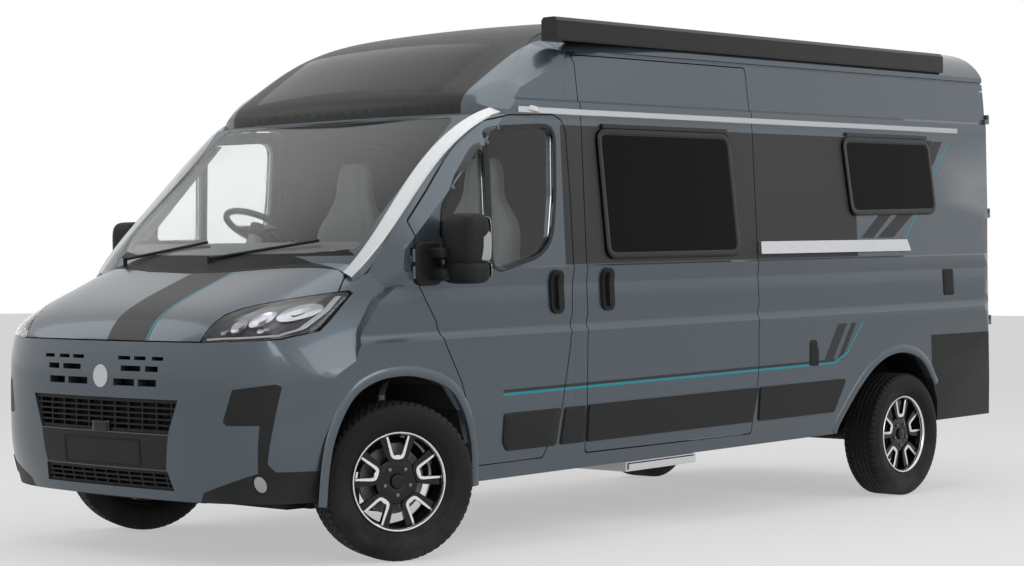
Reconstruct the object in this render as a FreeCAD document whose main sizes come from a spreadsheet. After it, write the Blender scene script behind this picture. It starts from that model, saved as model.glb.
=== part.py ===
import FreeCAD, Part
import math
import os
import re

import Sketcher
from FreeCAD import Placement, Rotation, Vector

# Camper van, millimetres.  +X is the vehicle's left, -Y is forward and +Z is up.
# The body is drawn level and then stands nose-down by the rake, turned about the front hubs' line.

os.makedirs("parts", exist_ok=True)
doc = FreeCAD.newDocument("camper_van")
sheet = doc.addObject("Spreadsheet::Sheet", "sizes")

SIZES = {
    # stance
    "front_axle": -2051.0,
    "wheelbase": 4035.0,
    "front_overhang": 925.0,
    "rear_overhang": 1015.0,
    "front_track": 1810.0,
    "rear_track": 1790.0,
    "kingpin_inset": 65.0,
    "rake": 1.37,
    "rest_steer": -24.0,
    # clearances
    "fit": 0.3,
    "seam": 0.6,
    "running": 5.0,
    "door_gap": 6.0,
    # walls
    "wall": 45.0,
    "roof_wall": 35.0,
    "nose_wall": 45.0,
    "glass": 6.0,
    "glass_sink": 14.0,
    "window_proud": 12.0,
    # heights of the side, stacked from the sill upwards
    "sill_height": 308.0,
    "swage_rise": 654.0,
    "belt_rise": 305.0,
    "band_rise": 683.0,
    "ledge_rise": 95.0,
    "groove_rise": 243.0,
    "crown_rise": 230.0,
    # half width at the swage, and how far the other lines stand in from it
    "body_half": 1025.0,
    "sill_tuck": 40.0,
    "flank_tuck": 13.0,
    "swage_depth": 14.0,
    "band_recess": 8.0,
    "band_lean": 35.0,
    "ledge_tuck": 41.0,
    "cant_tuck": 80.0,
    "groove_width": 14.0,
    "groove_depth": 12.0,
    "rear_corner": 120.0,
    # nose
    "bumper_flare": 10.0,
    "nose_depth": 720.0,
    "nose_fullness": 3.4,
    "bonnet_edge_rise": 677.0,
    "bonnet_length": 513.0,
    "cowl_rise": 4.0,
    "screen_foot_rise": 79.0,
    "screen_foot_set": 102.0,
    "screen_run": 819.0,
    # side openings
    "cab_length": 1093.0,
    "side_door_length": 1488.0,
    "window_radius": 55.0,
    "hinge_radius": 9.0,
    "hinge_length": 28.0,
    # tail
    "tail_door_half": 950.0,
    "tail_door_foot": 122.0,
    "tail_window_start": 170.0,
    "tail_window_end": 770.0,
    # wheels
    "tyre_radius": 350.0,
    "tyre_width": 225.0,
    "tyre_shoulder": 26.0,
    "rim_radius": 219.0,
    "rim_width": 176.0,
    "flange_height": 16.0,
    "flange_width": 7.0,
    "hub_radius": 62.0,
    "spoke_foot_half": 40.0,
    "spoke_tip_half": 58.0,
    "spoke_thickness": 26.0,
    "spoke_recess": 6.0,
    "spoke_ridge": 13.0,
    "disc_radius": 150.0,
    "disc_width": 28.0,
    # floor
    "floor_top": 520.0,
    "floor_wall": 40.0,
    "rail_half": 450.0,
    "rail_width": 70.0,
    "rail_height": 130.0,
    "cross_height": 90.0,
    "cross_width": 60.0,
    "towbar_spacing": 70.0,
    "towbar_bolt_radius": 6.5,
    "towbar_plate": 8.0,
    "towbar_ear": 80.0,
    "towbar_reach": 170.0,
    "liner": 6.0,
    "front_house_half": 572.0,
    "rear_house_half": 740.0,
    # cab
    "seat_half": 450.0,
    "seat_width": 500.0,
    "plinth_height": 300.0,
    "cushion_height": 150.0,
    "back_height": 620.0,
    "headrest_height": 200.0,
    "steering_wheel_radius": 190.0,
    "steering_wheel_grip": 16.0,
    "steering_tilt": 30.0,
    # outside fittings
    "awning_width": 100.0,
    "awning_height": 112.0,
    "strip_thickness": 9.0,
    "rail_proud": 24.0,
    "step_width": 560.0,
    "step_thickness": 26.0,
    "step_case": 46.0,
}

for row, (alias, value) in enumerate(SIZES.items(), start=1):
    sheet.set(f"A{row}", alias)
    sheet.set(f"B{row}", str(value))
    sheet.setAlias(f"B{row}", alias)
doc.recompute()


def size(alias):
    """Return one of the sheet's values in millimetres or degrees."""
    return float(sheet.get(alias))


FAR = 3600.0
ORIGIN = Vector(0, 0, 0)
AXIS_X = Vector(1, 0, 0)
AXIS_Y = Vector(0, 1, 0)
AXIS_Z = Vector(0, 0, 1)

# stations along the length of the level body
front = size("front_axle")
rear = front + size("wheelbase")
nose = front - size("front_overhang")
tail = rear + size("rear_overhang")
pillar = front + size("cab_length")
door_back = pillar + size("side_door_length")

# heights of the level body
sill = size("sill_height")
swage = sill + size("swage_rise")
belt = swage + size("belt_rise")
band = belt + size("band_rise")
ledge = band + size("ledge_rise")
groove = ledge + size("groove_rise")
crown = groove + size("crown_rise")
bonnet_edge = sill + size("bonnet_edge_rise")
cowl_height = belt + size("cowl_rise")
screen_foot = belt + size("screen_foot_rise")
screen_head = band + 30.0
cap_edge = screen_head - 5.0

# the windscreen's middle line along the length
cowl_y = nose + size("bonnet_length")
screen_foot_y = cowl_y + size("screen_foot_set")
screen_head_y = screen_foot_y + size("screen_run")

half = size("body_half")
hub_height = size("tyre_radius")
kingpin_half = size("front_track") / 2 - size("kingpin_inset")
gap = size("door_gap")
seam = size("seam")
fit = size("fit")

# the same stations and heights as formulas for bound pieces
BELT = "(sill_height + swage_rise + belt_rise)"
PILLAR = "(front_axle + cab_length)"
DOOR_BACK = "(front_axle + cab_length + side_door_length)"
REAR_AXLE = "(front_axle + wheelbase)"
TAIL = "(front_axle + wheelbase + rear_overhang)"
FLOOR_LOW = "(floor_top - floor_wall)"
RAIL_LOW = "(floor_top - floor_wall - rail_height)"
CROSS_LOW = "(floor_top - floor_wall - cross_height)"
NODES = []

# bound objects


def formula(text):
    """Turn words that are the sheet's aliases into references to its cells."""
    return re.sub(r"[a-z_]+", lambda word: f"sizes.{word[0]}" if word[0] in SIZES else word[0], str(text))


def bind(piece, **formulas):
    """Bind a piece's properties, or its place along x, y and z, to formulas over the sheet."""
    for name, text in formulas.items():
        path = f"Placement.Base.{name}" if name in ("x", "y", "z") else name
        piece.setExpression(path, formula(text))
    return piece


def block(name, x, y, z):
    """Add a box that runs between two formulas along each axis."""
    piece = doc.addObject("Part::Box", name)
    spans = [f"({high}) - ({low})" for low, high in (x, y, z)]
    return bind(piece, Length=spans[0], Width=spans[1], Height=spans[2], x=x[0], y=y[0], z=z[0])


def bar(name, radius, length, base, axis=AXIS_Z):
    """Add a round bar that starts at a base point and runs along an axis."""
    piece = doc.addObject("Part::Cylinder", name)
    piece.Placement = Placement(ORIGIN, Rotation(AXIS_Z, axis))
    return bind(piece, Radius=radius, Height=length, x=base[0], y=base[1], z=base[2])


def joined(name, pieces):
    """Add the fusion of several pieces."""
    piece = doc.addObject("Part::MultiFuse", name)
    piece.Shapes = pieces
    return piece


def gathered(name, pieces):
    """Add a compound of pieces that do not touch."""
    piece = doc.addObject("Part::Compound", name)
    piece.Links = pieces
    return piece


def less(name, base, tool):
    """Add one piece cut by another."""
    piece = doc.addObject("Part::Cut", name)
    piece.Base = base
    piece.Tool = tool
    return piece


def node(name, piece):
    """Label a finished sub-part and list it."""
    piece.Label = name
    NODES.append(piece)
    return piece


def rake_placement():
    """Return the body's stance: turned about the front hubs' line."""
    return Placement(ORIGIN, Rotation(AXIS_X, size("rake")), Vector(0, front, hub_height))


def raked(y, z):
    """Return formulas for where the rake takes a level point (y, z)."""
    ahead = f"(({y}) - front_axle)"
    above = f"(({z}) - tyre_radius)"
    turn = "(rake * 1 deg)"
    across = f"front_axle + cos{turn} * {ahead} - sin{turn} * {above}"
    return across, f"tyre_radius + sin{turn} * {ahead} + cos{turn} * {above}"


def on_body(name, piece, base=("0", "0", "0"), tilt="0"):
    """Stand a piece of the level body on the rake, and list it as a sub-part."""
    y, z = raked(base[1], base[2])
    piece.Placement = Placement(ORIGIN, Rotation(AXIS_X, size("rake")))
    bind(piece, x=base[0], y=y, z=z)
    piece.setExpression("Placement.Rotation.Angle", formula(f"rake - ({tilt})"))
    return node(name, piece)


def skin_node(name, shape):
    """Add a sub-part of free-form skin, drawn on the level body."""
    piece = doc.addObject("Part::Feature", name)
    piece.Shape = solids(shape)
    return on_body(name, piece)


# outlines and prisms

PLANES = {"x": Rotation(Vector(1, 1, 1), 120), "y": Rotation(AXIS_X, 90), "z": Rotation()}
WAYS = {"x": AXIS_X, "y": AXIS_Y, "z": AXIS_Z}


def prism(axis, outline, start, end, margin=0.0, radius=0.0):
    """Run a flat closed outline along an axis, grown by a margin and with rounded corners."""
    wire = Part.makePolygon([Vector(a, b, 0) for a, b in outline + outline[:1]])
    if margin != radius:
        wire = wire.makeOffset2D(margin - radius, 2)
    if radius:
        wire = wire.makeOffset2D(radius, 0)
    face = Part.Face(wire)
    face.Placement = Placement(WAYS[axis] * start, PLANES[axis])
    return face.extrude(WAYS[axis] * (end - start))


def shifted(points, first, second):
    """Move an outline's points by an offset in each of its two directions."""
    return [(a + first, b + second) for a, b in points]


def mirrored(shape):
    """Return the shape seen in the vehicle's middle plane."""
    return shape.mirror(ORIGIN, AXIS_X)


def both_sides(shape):
    """Return the shape and its mirror image together."""
    return Part.makeCompound([shape, mirrored(shape)])


def box(x0, x1, y0, y1, z0, z1):
    """Return a box between two corners."""
    return Part.makeBox(x1 - x0, y1 - y0, z1 - z0, Vector(x0, y0, z0))


def rod(radius, start, end):
    """Return a round bar between two points."""
    way = end - start
    return Part.makeCylinder(radius, way.Length, start, way)


def solids(shape):
    """Keep a result's solids, without loose faces and slivers."""
    kept = [s for s in shape.Solids if s.Volume > 500.0]
    return kept[0] if len(kept) == 1 else Part.makeCompound(kept)


# the body's envelope


def side_section(inset=0.0):
    """List the left side's (x, z) points from sill to roof edge, moved inwards by the inset."""
    depth = size("swage_depth")
    recess = size("band_recess")
    cant = half - size("cant_tuck")
    dip = cant - size("groove_depth")
    groove_top = groove + size("groove_width")
    points = [
        (half - size("sill_tuck"), sill),
        (half - size("flank_tuck"), (sill + swage) / 2),
        (half - 6.0, swage - 32.0),
        (half, swage),
        (half - depth, swage + 24.0),
        (half - depth - 2.0, swage + 42.0),
        (half - 4.0, swage + 80.0),
        (half - 11.0, belt - 75.0),
        (half - 1.0, belt),
        (half - 1.0 - recess, belt + recess),
        (half - size("band_lean"), band),
        (half - size("band_lean") - 2.0, band + recess),
        (half - size("band_lean"), ledge - 35.0),
        (half - size("ledge_tuck"), ledge),
        (half - size("ledge_tuck") - 12.0, ledge + 12.0),
        (cant, groove),
        (dip, groove + 3.0),
        (dip, groove_top - 3.0),
        (cant, groove_top),
        (cant - 12.0, crown - 80.0),
        (cant - 40.0, crown + 190.0),
    ]
    return [(x - inset, z) for x, z in points]


def section_solid(inset=0.0, foot=0.0):
    """Run the body's closed section along its length."""
    left = side_section(inset)
    left[0] = (left[0][0], left[0][1] + foot)
    right = [(-x, z) for x, z in reversed(left)]
    return prism("y", left + right, -FAR, tail - inset)


def clamped(count):
    """Return the multiplicities and knots of a cubic run of poles that reaches both ends."""
    spans = count - 3
    return [4] + [1] * (spans - 1) + [4], [float(i) for i in range(spans + 1)]


def spline_face(grid):
    """Return the smooth cubic face that a grid of poles pulls into shape."""
    rows, row_knots = clamped(len(grid))
    columns, column_knots = clamped(len(grid[0]))
    surface = Part.BSplineSurface()
    surface.buildFromPolesMultsKnots(grid, rows, columns, row_knots, column_knots, False, False, 3, 3)
    return surface.toShape()


# rows of the bumper's face: height over the sill, lean backwards and share of the half width
NOSE_ROWS = [(-158.0, 75.0, 0.98), (-8.0, 50.0, 0.985), (122.0, 3.0, 1.0), (312.0, 0.0, 1.0)]
NOSE_ROWS += [(522.0, 3.0, 1.0), (622.0, 10.0, 0.995), (692.0, 24.0, 0.985), (812.0, 60.0, 0.97)]
NOSE_ROWS += [(972.0, 120.0, 0.96), (1142.0, 190.0, 0.95), (1292.0, 250.0, 0.94)]
NOSE_STEP = 12


def nose_point(angle, row, shift):
    """Return a point of the bumper's face: a full round in plan, leaning a little with height."""
    height, lean, share = row
    power = 2.0 / size("nose_fullness")
    turn = math.radians(angle)
    reach = (half + size("bumper_flare")) * share
    across = math.copysign(abs(math.sin(turn)) ** power, turn) * reach
    back = (1.0 - math.cos(turn) ** power) * size("nose_depth")
    return Vector(across, nose + lean + back + shift, sill + height)


def nose_solid(shift=0.0):
    """Return all that lies behind the bumper's face."""
    angles = range(-7 * NOSE_STEP, 8 * NOSE_STEP, NOSE_STEP)
    return spline_face(
        [[nose_point(a, row, shift) for a in angles] for row in NOSE_ROWS]
    ).extrude(AXIS_Y * FAR)


# places across the half width, and how far each falls back and down there
COLUMNS = [0.0, 160.0, 320.0, 480.0, 620.0, 740.0, 830.0, 900.0, 960.0, 1020.0, 1080.0]
BONNET_BOW = [0.0, 2.0, 8.0, 18.0, 33.0, 58.0, 88.0, 130.0, 190.0, 262.0, 340.0]
BONNET_DROP = [0.0, 0.0, 1.0, 2.0, 7.0, 24.0, 48.0, 90.0, 205.0, 315.0, 420.0]
ROOF_BOW = [0.0, 3.0, 12.0, 25.0, 42.0, 62.0, 85.0, 115.0, 160.0, 215.0, 280.0]
ROOF_DROP = [0.0, 1.0, 4.0, 9.0, 18.0, 38.0, 72.0, 128.0, 210.0, 330.0, 460.0]

# the bonnet's middle line: offset from the nose, share of the rise to the cowl, share of the drop
BONNET_LINE = [
    (-64.0, -0.54, 1.0), (21.0, 0.0, 1.0), (58.0, 0.245, 1.0), (121.0, 0.43, 1.0), (226.0, 0.612, 1.0)
]
BONNET_LINE += [
    (362.0, 0.797, 0.95), (513.0, 1.0, 0.8), (676.0, 1.206, 0.55), (876.0, 1.45, 0.4), (1176.0, 1.73, 0.3)
]


def crosswise(values, mirror_sign=False):
    """Spread a left-half row of values over both halves."""
    sign = -1.0 if mirror_sign else 1.0
    return [sign * v for v in reversed(values[1:])] + list(values)


def bonnet_solid(sink=0.0):
    """Return all that lies under the bonnet's and wings' face."""
    across = crosswise(COLUMNS, True)
    bow = crosswise(BONNET_BOW)
    drop = crosswise(BONNET_DROP)
    grid = []
    for ahead, rise, share in BONNET_LINE:
        height = bonnet_edge + rise * (cowl_height - bonnet_edge) - sink
        grid.append([Vector(x, nose + ahead + b, height - d * share) for x, b, d in zip(across, bow, drop)])
    return spline_face(grid).extrude(AXIS_Z * -1500.0)


# rows of the windscreen: share of the height from foot to head, and the bow at its edges
SCREEN_ROWS = [(-0.31, 345.0), (0.0, 130.0), (0.4, 82.0), (0.73, 50.0), (1.0, 28.0), (1.27, 20.0)]
SCREEN_COLUMNS = [-1060.0, -850.0, -600.0, -300.0, 0.0, 300.0, 600.0, 850.0, 1060.0]


def screen_solid(shift=0.0):
    """Return all that lies behind the windscreen's bowed face."""
    grid = []
    for share, bow in SCREEN_ROWS:
        height = screen_foot + share * (screen_head - screen_foot)
        line = screen_foot_y + share * size("screen_run") + shift
        grid.append([Vector(x, line + bow * (abs(x) / 850.0) ** 2.4, height) for x in SCREEN_COLUMNS])
    return spline_face(grid).extrude(AXIS_Y * (FAR + 2400.0))


# the roof cap's middle line: offset from the screen's head, share of the rise to the crown,
# share of the bow and share of the drop
CAP_LINE = [
    (-14.0, 0.093, 1.0, 0.0), (2.0, 0.167, 1.0, 0.05), (42.0, 0.234, 1.0, 0.1), (102.0, 0.312, 1.0, 0.2)
]
CAP_LINE += [
    (192.0, 0.424, 0.9, 0.35), (312.0, 0.567, 0.8, 0.5), (442.0, 0.706, 0.5, 0.8),
    (602.0, 0.818, 0.25, 0.95)
]
CAP_LINE += [(762.0, 0.883, 0.0, 1.0)]
ROOF_PITCH = 180.0


def roof_line():
    """List the roof's middle line from the cap's lip to behind the tail."""
    rise = crown - screen_head
    rows = [(screen_head_y + y, screen_head + z * rise, bow, drop) for y, z, bow, drop in CAP_LINE]
    start = rows[-1][0]
    sag = crown - rows[-1][1]
    level = start + 780.0
    y = start + ROOF_PITCH
    while y < tail + 2 * ROOF_PITCH:
        rows.append((y, crown - sag * max(0.0, (level - y) / 780.0) ** 2, 0.0, 1.0))
        y += ROOF_PITCH
    return rows


def roof_solid(sink=0.0):
    """Return all that lies under the roof and behind its front cap."""
    across = crosswise(COLUMNS, True)
    bow = crosswise(ROOF_BOW)
    drop = crosswise(ROOF_DROP)
    grid = []
    for y, z, ahead, level in roof_line():
        back = y + sink * ahead
        lower = z - sink * (1.0 - ahead)
        grid.append([Vector(x, back + b * ahead, lower - d * level) for x, b, d in zip(across, bow, drop)])
    return spline_face(grid).extrude(AXIS_Z * -2300.0)


def pillar_cut(inset=0.0):
    """Return the wedge that the left A-pillar's slanted face takes off the corner."""
    foot = Vector(half - 122.0, screen_foot_y - 1.0, belt - 43.0)
    head = Vector(half - 157.0, screen_head_y - 98.0, screen_head - 110.0)
    way = head - foot
    start = foot - way * 0.6 + Vector(-0.7 * inset, 0.7 * inset, 0)
    corners = [start + Vector(-60, -60, 0), start + Vector(800, 800, 0), start + Vector(800, -900, 0)]
    return Part.Face(Part.makePolygon(corners + corners[:1])).extrude(way * 2.4)


def cab_foot(shift, section):
    """Return the cab's lower block, up to the windscreen's foot."""
    top = belt - 66.0
    line = [(cowl_y + 43.0, sill - 58.0), (cowl_y + 63.0, swage - 62.0), (cowl_y + 113.0, swage + 68.0)]
    line += [(cowl_y + 223.0, belt - 117.0), (cowl_y + 313.0, top), (FAR, top), (FAR, sill - 58.0)]
    return prism("x", shifted(line, shift, 0.0), -1200, 1200).common(section)


def roof_inside(more=0.0):
    """Return the space under the roof's lining, from its side outline and its crown."""
    low = cap_edge - 1.0
    line = []
    for y, z, ahead, level in roof_line():
        line.append((y + more + 40.0 * ahead, z - more - size("roof_wall") - 55.0 * ahead))
    line = [(y, z) for y, z in line if z > low + 20.0]
    side = prism("x", [(line[0][0], low)] + line + [(line[-1][0], low)], -1200, 1200)
    inner = half - size("ledge_tuck") - size("wall") - more
    left = [
        (inner, low), (half - 125.0, crown - 228.0), (half - 165.0, crown - 148.0),
        (half - 225.0, crown - 98.0)
    ]
    left += [(half - 325.0, crown - 63.0), (half - 525.0, crown - 40.0)]
    right = [(-x, z) for x, z in reversed(left)]
    return side.common(prism("y", left + [(0.0, crown - size("roof_wall"))] + right, -FAR, FAR))


def outer_hull():
    """Return the whole body's envelope."""
    section = section_solid()
    screen = screen_solid().common(box(-1200, 1200, -FAR, FAR, belt - 87.0, cap_edge)).common(section)
    roof = roof_solid().common(box(-1200, 1200, -FAR, FAR, cap_edge - 1.0, FAR)).common(section)
    cab = cab_foot(0.0, section).multiFuse([screen, roof]).cut(both_sides(pillar_cut()))
    return cab.fuse(nose_solid().common(bonnet_solid()).common(section))


def inner_hull(more=0.0):
    """Return the space inside the body's walls, or a little less of it."""
    shift = size("nose_wall") + more
    inset = size("wall") + more
    section = section_solid(inset, -120.0)
    screen = screen_solid(shift).common(box(-1200, 1200, -FAR, FAR, belt - 87.0, cap_edge)).common(section)
    cab = cab_foot(shift, section).multiFuse([screen, roof_inside(more)]).cut(both_sides(pillar_cut(inset)))
    return cab.fuse(nose_solid(shift).common(bonnet_solid(size("roof_wall") + more)).common(section))


def rear_round(shift=0.0):
    """Return the block that rounds the body's rear corners in plan."""
    corner = size("rear_corner")
    middle_x = half - 5.0 - corner
    middle_y = tail - 30.0 - corner + shift
    turns = [math.radians(15.0 * step) for step in range(7)]
    arc = [(middle_x + corner * math.cos(t), middle_y + corner * math.sin(t)) for t in turns]
    left = [(half + 40.0, -FAR), (half + 40.0, tail - 320.0)] + arc + [(500.0, tail - 8.0 + shift)]
    right = [(-x, y) for x, y in reversed(left)]
    return prism("z", left + [(0.0, tail + shift)] + right, 0.0, FAR)


# wheel arches about the hubs, (along, above)
FRONT_ARCH = [
    (-534.0, -150.0), (-516.0, 94.0), (-477.0, 238.0), (-371.0, 392.0), (-243.0, 449.0), (-109.0, 465.0)
]
FRONT_ARCH += [(26.0, 458.0), (224.0, 402.0), (320.0, 290.0), (381.0, 130.0), (398.0, -150.0)]
REAR_ARCH = [
    (-723.0, -53.0), (-692.0, 77.0), (-583.0, 202.0), (-473.0, 312.0), (-315.0, 428.0), (-90.0, 482.0)
]
REAR_ARCH += [(138.0, 437.0), (262.0, 317.0), (342.0, 177.0), (369.0, -53.0)]


def leveled(y, z):
    """Return a standing point's (y, z) in the level body's frame."""
    point = rake_placement().inverse().multVec(Vector(0, y, z))
    return point.y, point.z


rear_hub_y, rear_hub_z = leveled(rear, hub_height)
front_arch = shifted(FRONT_ARCH, front, hub_height)
rear_arch = shifted(REAR_ARCH, rear_hub_y, rear_hub_z)


def arches():
    """Return the wheel arches' openings on both sides."""
    ahead = prism("x", front_arch, size("front_house_half"), 1200.0)
    behind = prism("x", rear_arch, size("rear_house_half"), 1200.0)
    return both_sides(Part.makeCompound([ahead, behind]))


# panel outlines seen from the side, (y, z), each point tied to a station and a height

DOOR = shifted([(396.0, 69.0), (876.0, 69.0), (991.0, 252.0)], front, sill)
DOOR += [(pillar - 32.0, belt - 367.0), (pillar, belt + 36.0), (pillar - 4.0, band - 350.0)]
DOOR += shifted([(-17.0, -50.0), (-42.0, 10.0), (-102.0, 35.0)], pillar, band)
DOOR += shifted(
    [(671.0, 25.0), (553.0, -5.0), (450.0, -72.0), (323.0, -185.0), (179.0, -328.0)], front, band
)
DOOR += shifted([(41.0, 223.0), (17.0, 116.0), (31.0, -48.0)], front, belt)
DOOR += [(front + 305.0, swage - 198.0), (front + 361.0, sill + 292.0)]
DOOR_GLASS = [(front + 527.0, belt - 5.0), (pillar - 254.0, belt + 61.0), (pillar - 162.0, belt + 133.0)]
DOOR_GLASS += [(pillar - 127.0, band - 350.0), (pillar - 112.0, band - 60.0), (pillar - 152.0, band - 28.0)]
DOOR_GLASS += [(front + 531.0, band - 52.0)]
QUARTER_GLASS = shifted([(491.0, 153.0), (201.0, 153.0), (215.0, 250.0)], front, belt)
QUARTER_GLASS += shifted([(221.0, -400.0), (330.0, -270.0), (451.0, -150.0), (491.0, -120.0)], front, band)
SLIDING_DOOR = [(pillar + 85.0, sill + 67.0), (door_back - 47.0, sill + 57.0), (door_back, sill + 392.0)]
SLIDING_DOOR += [(door_back, groove - 8.0), (pillar + 96.0, groove - 8.0)]
LIVING_WINDOW = [
    (pillar + 240.0, belt + 32.0), (door_back - 164.0, belt + 32.0), (door_back - 223.0, band - 23.0)
]
LIVING_WINDOW += [(pillar + 195.0, band - 23.0)]
REAR_WINDOW = [(rear - 570.0, belt + 235.0), (rear + 326.0, belt + 245.0), (rear + 266.0, band - 11.0)]
REAR_WINDOW += [(rear - 636.0, band - 13.0)]
WING_SEAM = shifted([(296.0, 692.0), (376.0, 542.0), (526.0, 437.0), (576.0, 292.0)], nose, sill)
WING = [
    (-FAR, sill - 108.0), (-FAR, belt + 33.0), (cowl_y + 163.0, belt + 33.0), (cowl_y + 213.0, belt - 48.0)
]
WING += [(front + 31.0, belt - 48.0), (front + 305.0, swage - 198.0), (front + 361.0, sill + 292.0)]
WING += [(front + 396.0, sill + 69.0), (front + 396.0, sill - 108.0)]
REAR_TRIM = [(tail - 729.0, sill - 58.0), (tail - 749.0, sill + 252.0), (tail - 768.0, sill + 503.0)]
REAR_TRIM += [(tail - 130.0, sill + 498.0), (tail + 101.0, sill + 452.0), (tail + 101.0, sill - 58.0)]
CAP = [
    (-FAR, cap_edge + 10.0), (screen_head_y + 242.0, cap_edge + 10.0),
    (screen_head_y + 252.0, cap_edge + 55.0)
]
CAP += [(screen_head_y + 412.0, crown - 258.0), (screen_head_y + 582.0, crown - 183.0)]
CAP += [(screen_head_y + 642.0, crown + 82.0), (-FAR, crown + 82.0)]

# panel outlines seen from the front, (x, z)

LAMP = shifted(
    [(600.0, 0.0), (622.0, 55.0), (640.0, 116.0), (680.0, 143.0), (800.0, 180.0)], 0.0, bonnet_edge
)
LAMP += shifted(
    [(900.0, 207.0), (912.0, 195.0), (931.0, 77.0), (936.0, 36.0), (900.0, 9.0)], 0.0, bonnet_edge
)
SCREEN = [
    (-822.0, screen_foot + 26.0), (-600.0, screen_foot + 6.0), (0.0, screen_foot),
    (600.0, screen_foot + 6.0)
]
SCREEN += [(822.0, screen_foot + 26.0), (800.0, screen_head - 40.0), (780.0, screen_head - 14.0)]
SCREEN += [(-780.0, screen_head - 14.0), (-800.0, screen_head - 40.0)]
GRILLE = shifted([(-500.0, 434.0), (-440.0, 286.0), (440.0, 286.0), (500.0, 434.0)], 0.0, sill)
PLATE = shifted([(-440.0, 282.0), (-415.0, 132.0), (415.0, 132.0), (440.0, 282.0)], 0.0, sill)
INTAKE = shifted([(-420.0, 128.0), (-440.0, 44.0), (440.0, 44.0), (420.0, 128.0)], 0.0, sill)
CORNER = [
    (725.0, 347.0), (765.0, 482.0), (915.0, 504.0), (930.0, 492.0), (885.0, 172.0), (905.0, 137.0),
    (1060.0, 132.0)
]
CORNER += [(1060.0, -28.0), (560.0, -28.0), (600.0, 44.0), (850.0, 132.0), (865.0, 332.0), (740.0, 332.0)]
CORNER = shifted(CORNER, 0.0, sill)

# the bonnet seen from above, (x, y)
BONNET = [(0.0, -124.0), (598.0, -124.0), (600.0, 25.0), (640.0, 147.0), (680.0, 210.0), (800.0, 362.0)]
BONNET += [(890.0, 601.0), (850.0, 686.0), (800.0, 693.0), (600.0, 616.0), (300.0, 541.0), (0.0, 513.0)]
BONNET = shifted(BONNET, 0.0, nose)
SKYLIGHT = [(-640.0, 72.0), (640.0, 72.0), (640.0, 462.0), (-640.0, 462.0)]
SKYLIGHT = shifted(SKYLIGHT, 0.0, screen_head_y)

# hinges

DOOR_PIN = Vector(half - 3.0, front + 6.0, 0)
DOOR_PIN_HEIGHTS = [belt - 33.0, belt + 41.0]
TAIL_PIN = Vector(half - 47.0, tail - 31.0, 0)
TAIL_PIN_HEIGHTS = [swage - 118.0, belt + 220.0, ledge + 5.0]


def knuckle_pair(pin, height, fixed_leaf, moving_leaf):
    """Return one hinge's fixed and moving knuckles, each with the leaf (x0, x1, y0, y1) about its pin."""
    pair = []
    for start, leaf in ((height, fixed_leaf), (height + size("hinge_length") + fit, moving_leaf)):
        end = start + size("hinge_length")
        barrel = rod(size("hinge_radius"), pin + AXIS_Z * start, pin + AXIS_Z * end)
        x0, x1, y0, y1 = leaf
        pair.append(barrel.fuse(box(pin.x + x0, pin.x + x1, pin.y + y0, pin.y + y1, start, end)))
    return pair


def hinges(pin, heights, fixed_leaf, moving_leaf):
    """Return all fixed and all moving knuckles along one pin."""
    pairs = [knuckle_pair(pin, z, fixed_leaf, moving_leaf) for z in heights]
    return [p[0] for p in pairs], [p[1] for p in pairs]


DOOR_FIXED, DOOR_MOVING = hinges(DOOR_PIN, DOOR_PIN_HEIGHTS, (-26, 0, -30, 0), (-26, 0, 0, 40))
TAIL_FIXED, TAIL_MOVING = hinges(TAIL_PIN, TAIL_PIN_HEIGHTS, (-6, 9, -45, 0), (-50, 0, -9, 3))


def pin_pocket():
    """Return the room that the left door's moving knuckles need in the pillar."""
    rooms = []
    for z in DOOR_PIN_HEIGHTS:
        low = z + size("hinge_length")
        high = low + size("hinge_length") + size("running")
        rooms.append(box(DOOR_PIN.x - 32, half + 15, DOOR_PIN.y - 14, DOOR_PIN.y + 46, low, high))
    return Part.makeCompound(rooms)


def placed(shape, sign):
    """Return a left-hand shape, or its mirror image on the right."""
    return shape if sign > 0 else mirrored(shape)


SIDES = (("left", 1), ("right", -1))

# the skin, cut where the real panels meet


def build_body():
    """Return the body's envelope and its hollow skin."""
    outer = outer_hull().common(rear_round())
    inner = inner_hull().common(box(-FAR, FAR, -FAR, tail - 75.0, 0, FAR))
    return outer, outer.cut(inner).cut(arches())


def side_prism(outline, margin=0.0, radius=0.0):
    """Return the left side's prism of an outline."""
    return prism("x", outline, 700.0, 1200.0, margin, radius)


def side_layer(near, far):
    """Return the side's layer between two depths; a depth below zero stands proud of the skin."""
    return section_solid(near).cut(section_solid(far))


def pane(outline, radius):
    """Return a left window pane that follows the side's slope, set in from the skin."""
    sunk = side_layer(size("glass_sink"), size("glass_sink") + size("glass"))
    return sunk.common(side_prism(outline, -fit, radius))


def cut_front_doors(skin):
    """Make the two cab doors with their panes, and return the skin without them."""
    window = side_prism(DOOR_GLASS, 0.0, 60.0).fuse(side_prism(QUARTER_GLASS, 0.0, 20.0))
    panes = pane(DOOR_GLASS, 60.0).fuse(pane(QUARTER_GLASS, 20.0))
    leaf = side_prism(DOOR, -gap, 30.0).cut(window)
    hole = side_prism(DOOR, 0.0, 30.0).fuse(pin_pocket())
    for side, sign in SIDES:
        door = skin.common(placed(leaf, sign))
        skin_node(f"front_door_{side}", door.multiFuse([placed(k, sign) for k in DOOR_MOVING]))
        skin_node(f"door_glass_{side}", placed(panes, sign))
        skin = skin.cut(placed(hole, sign))
    return skin


def door_roller(y):
    """Return one of the sliding door's lower rollers' arms, reaching to the floor's edge."""
    top = size("floor_top")
    edge = half - size("flank_tuck") - size("wall") - 20.0
    return box(edge + fit, edge + 45.0, y - 30.0, y + 30.0, top - 30.0, top - 5.0)


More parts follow.
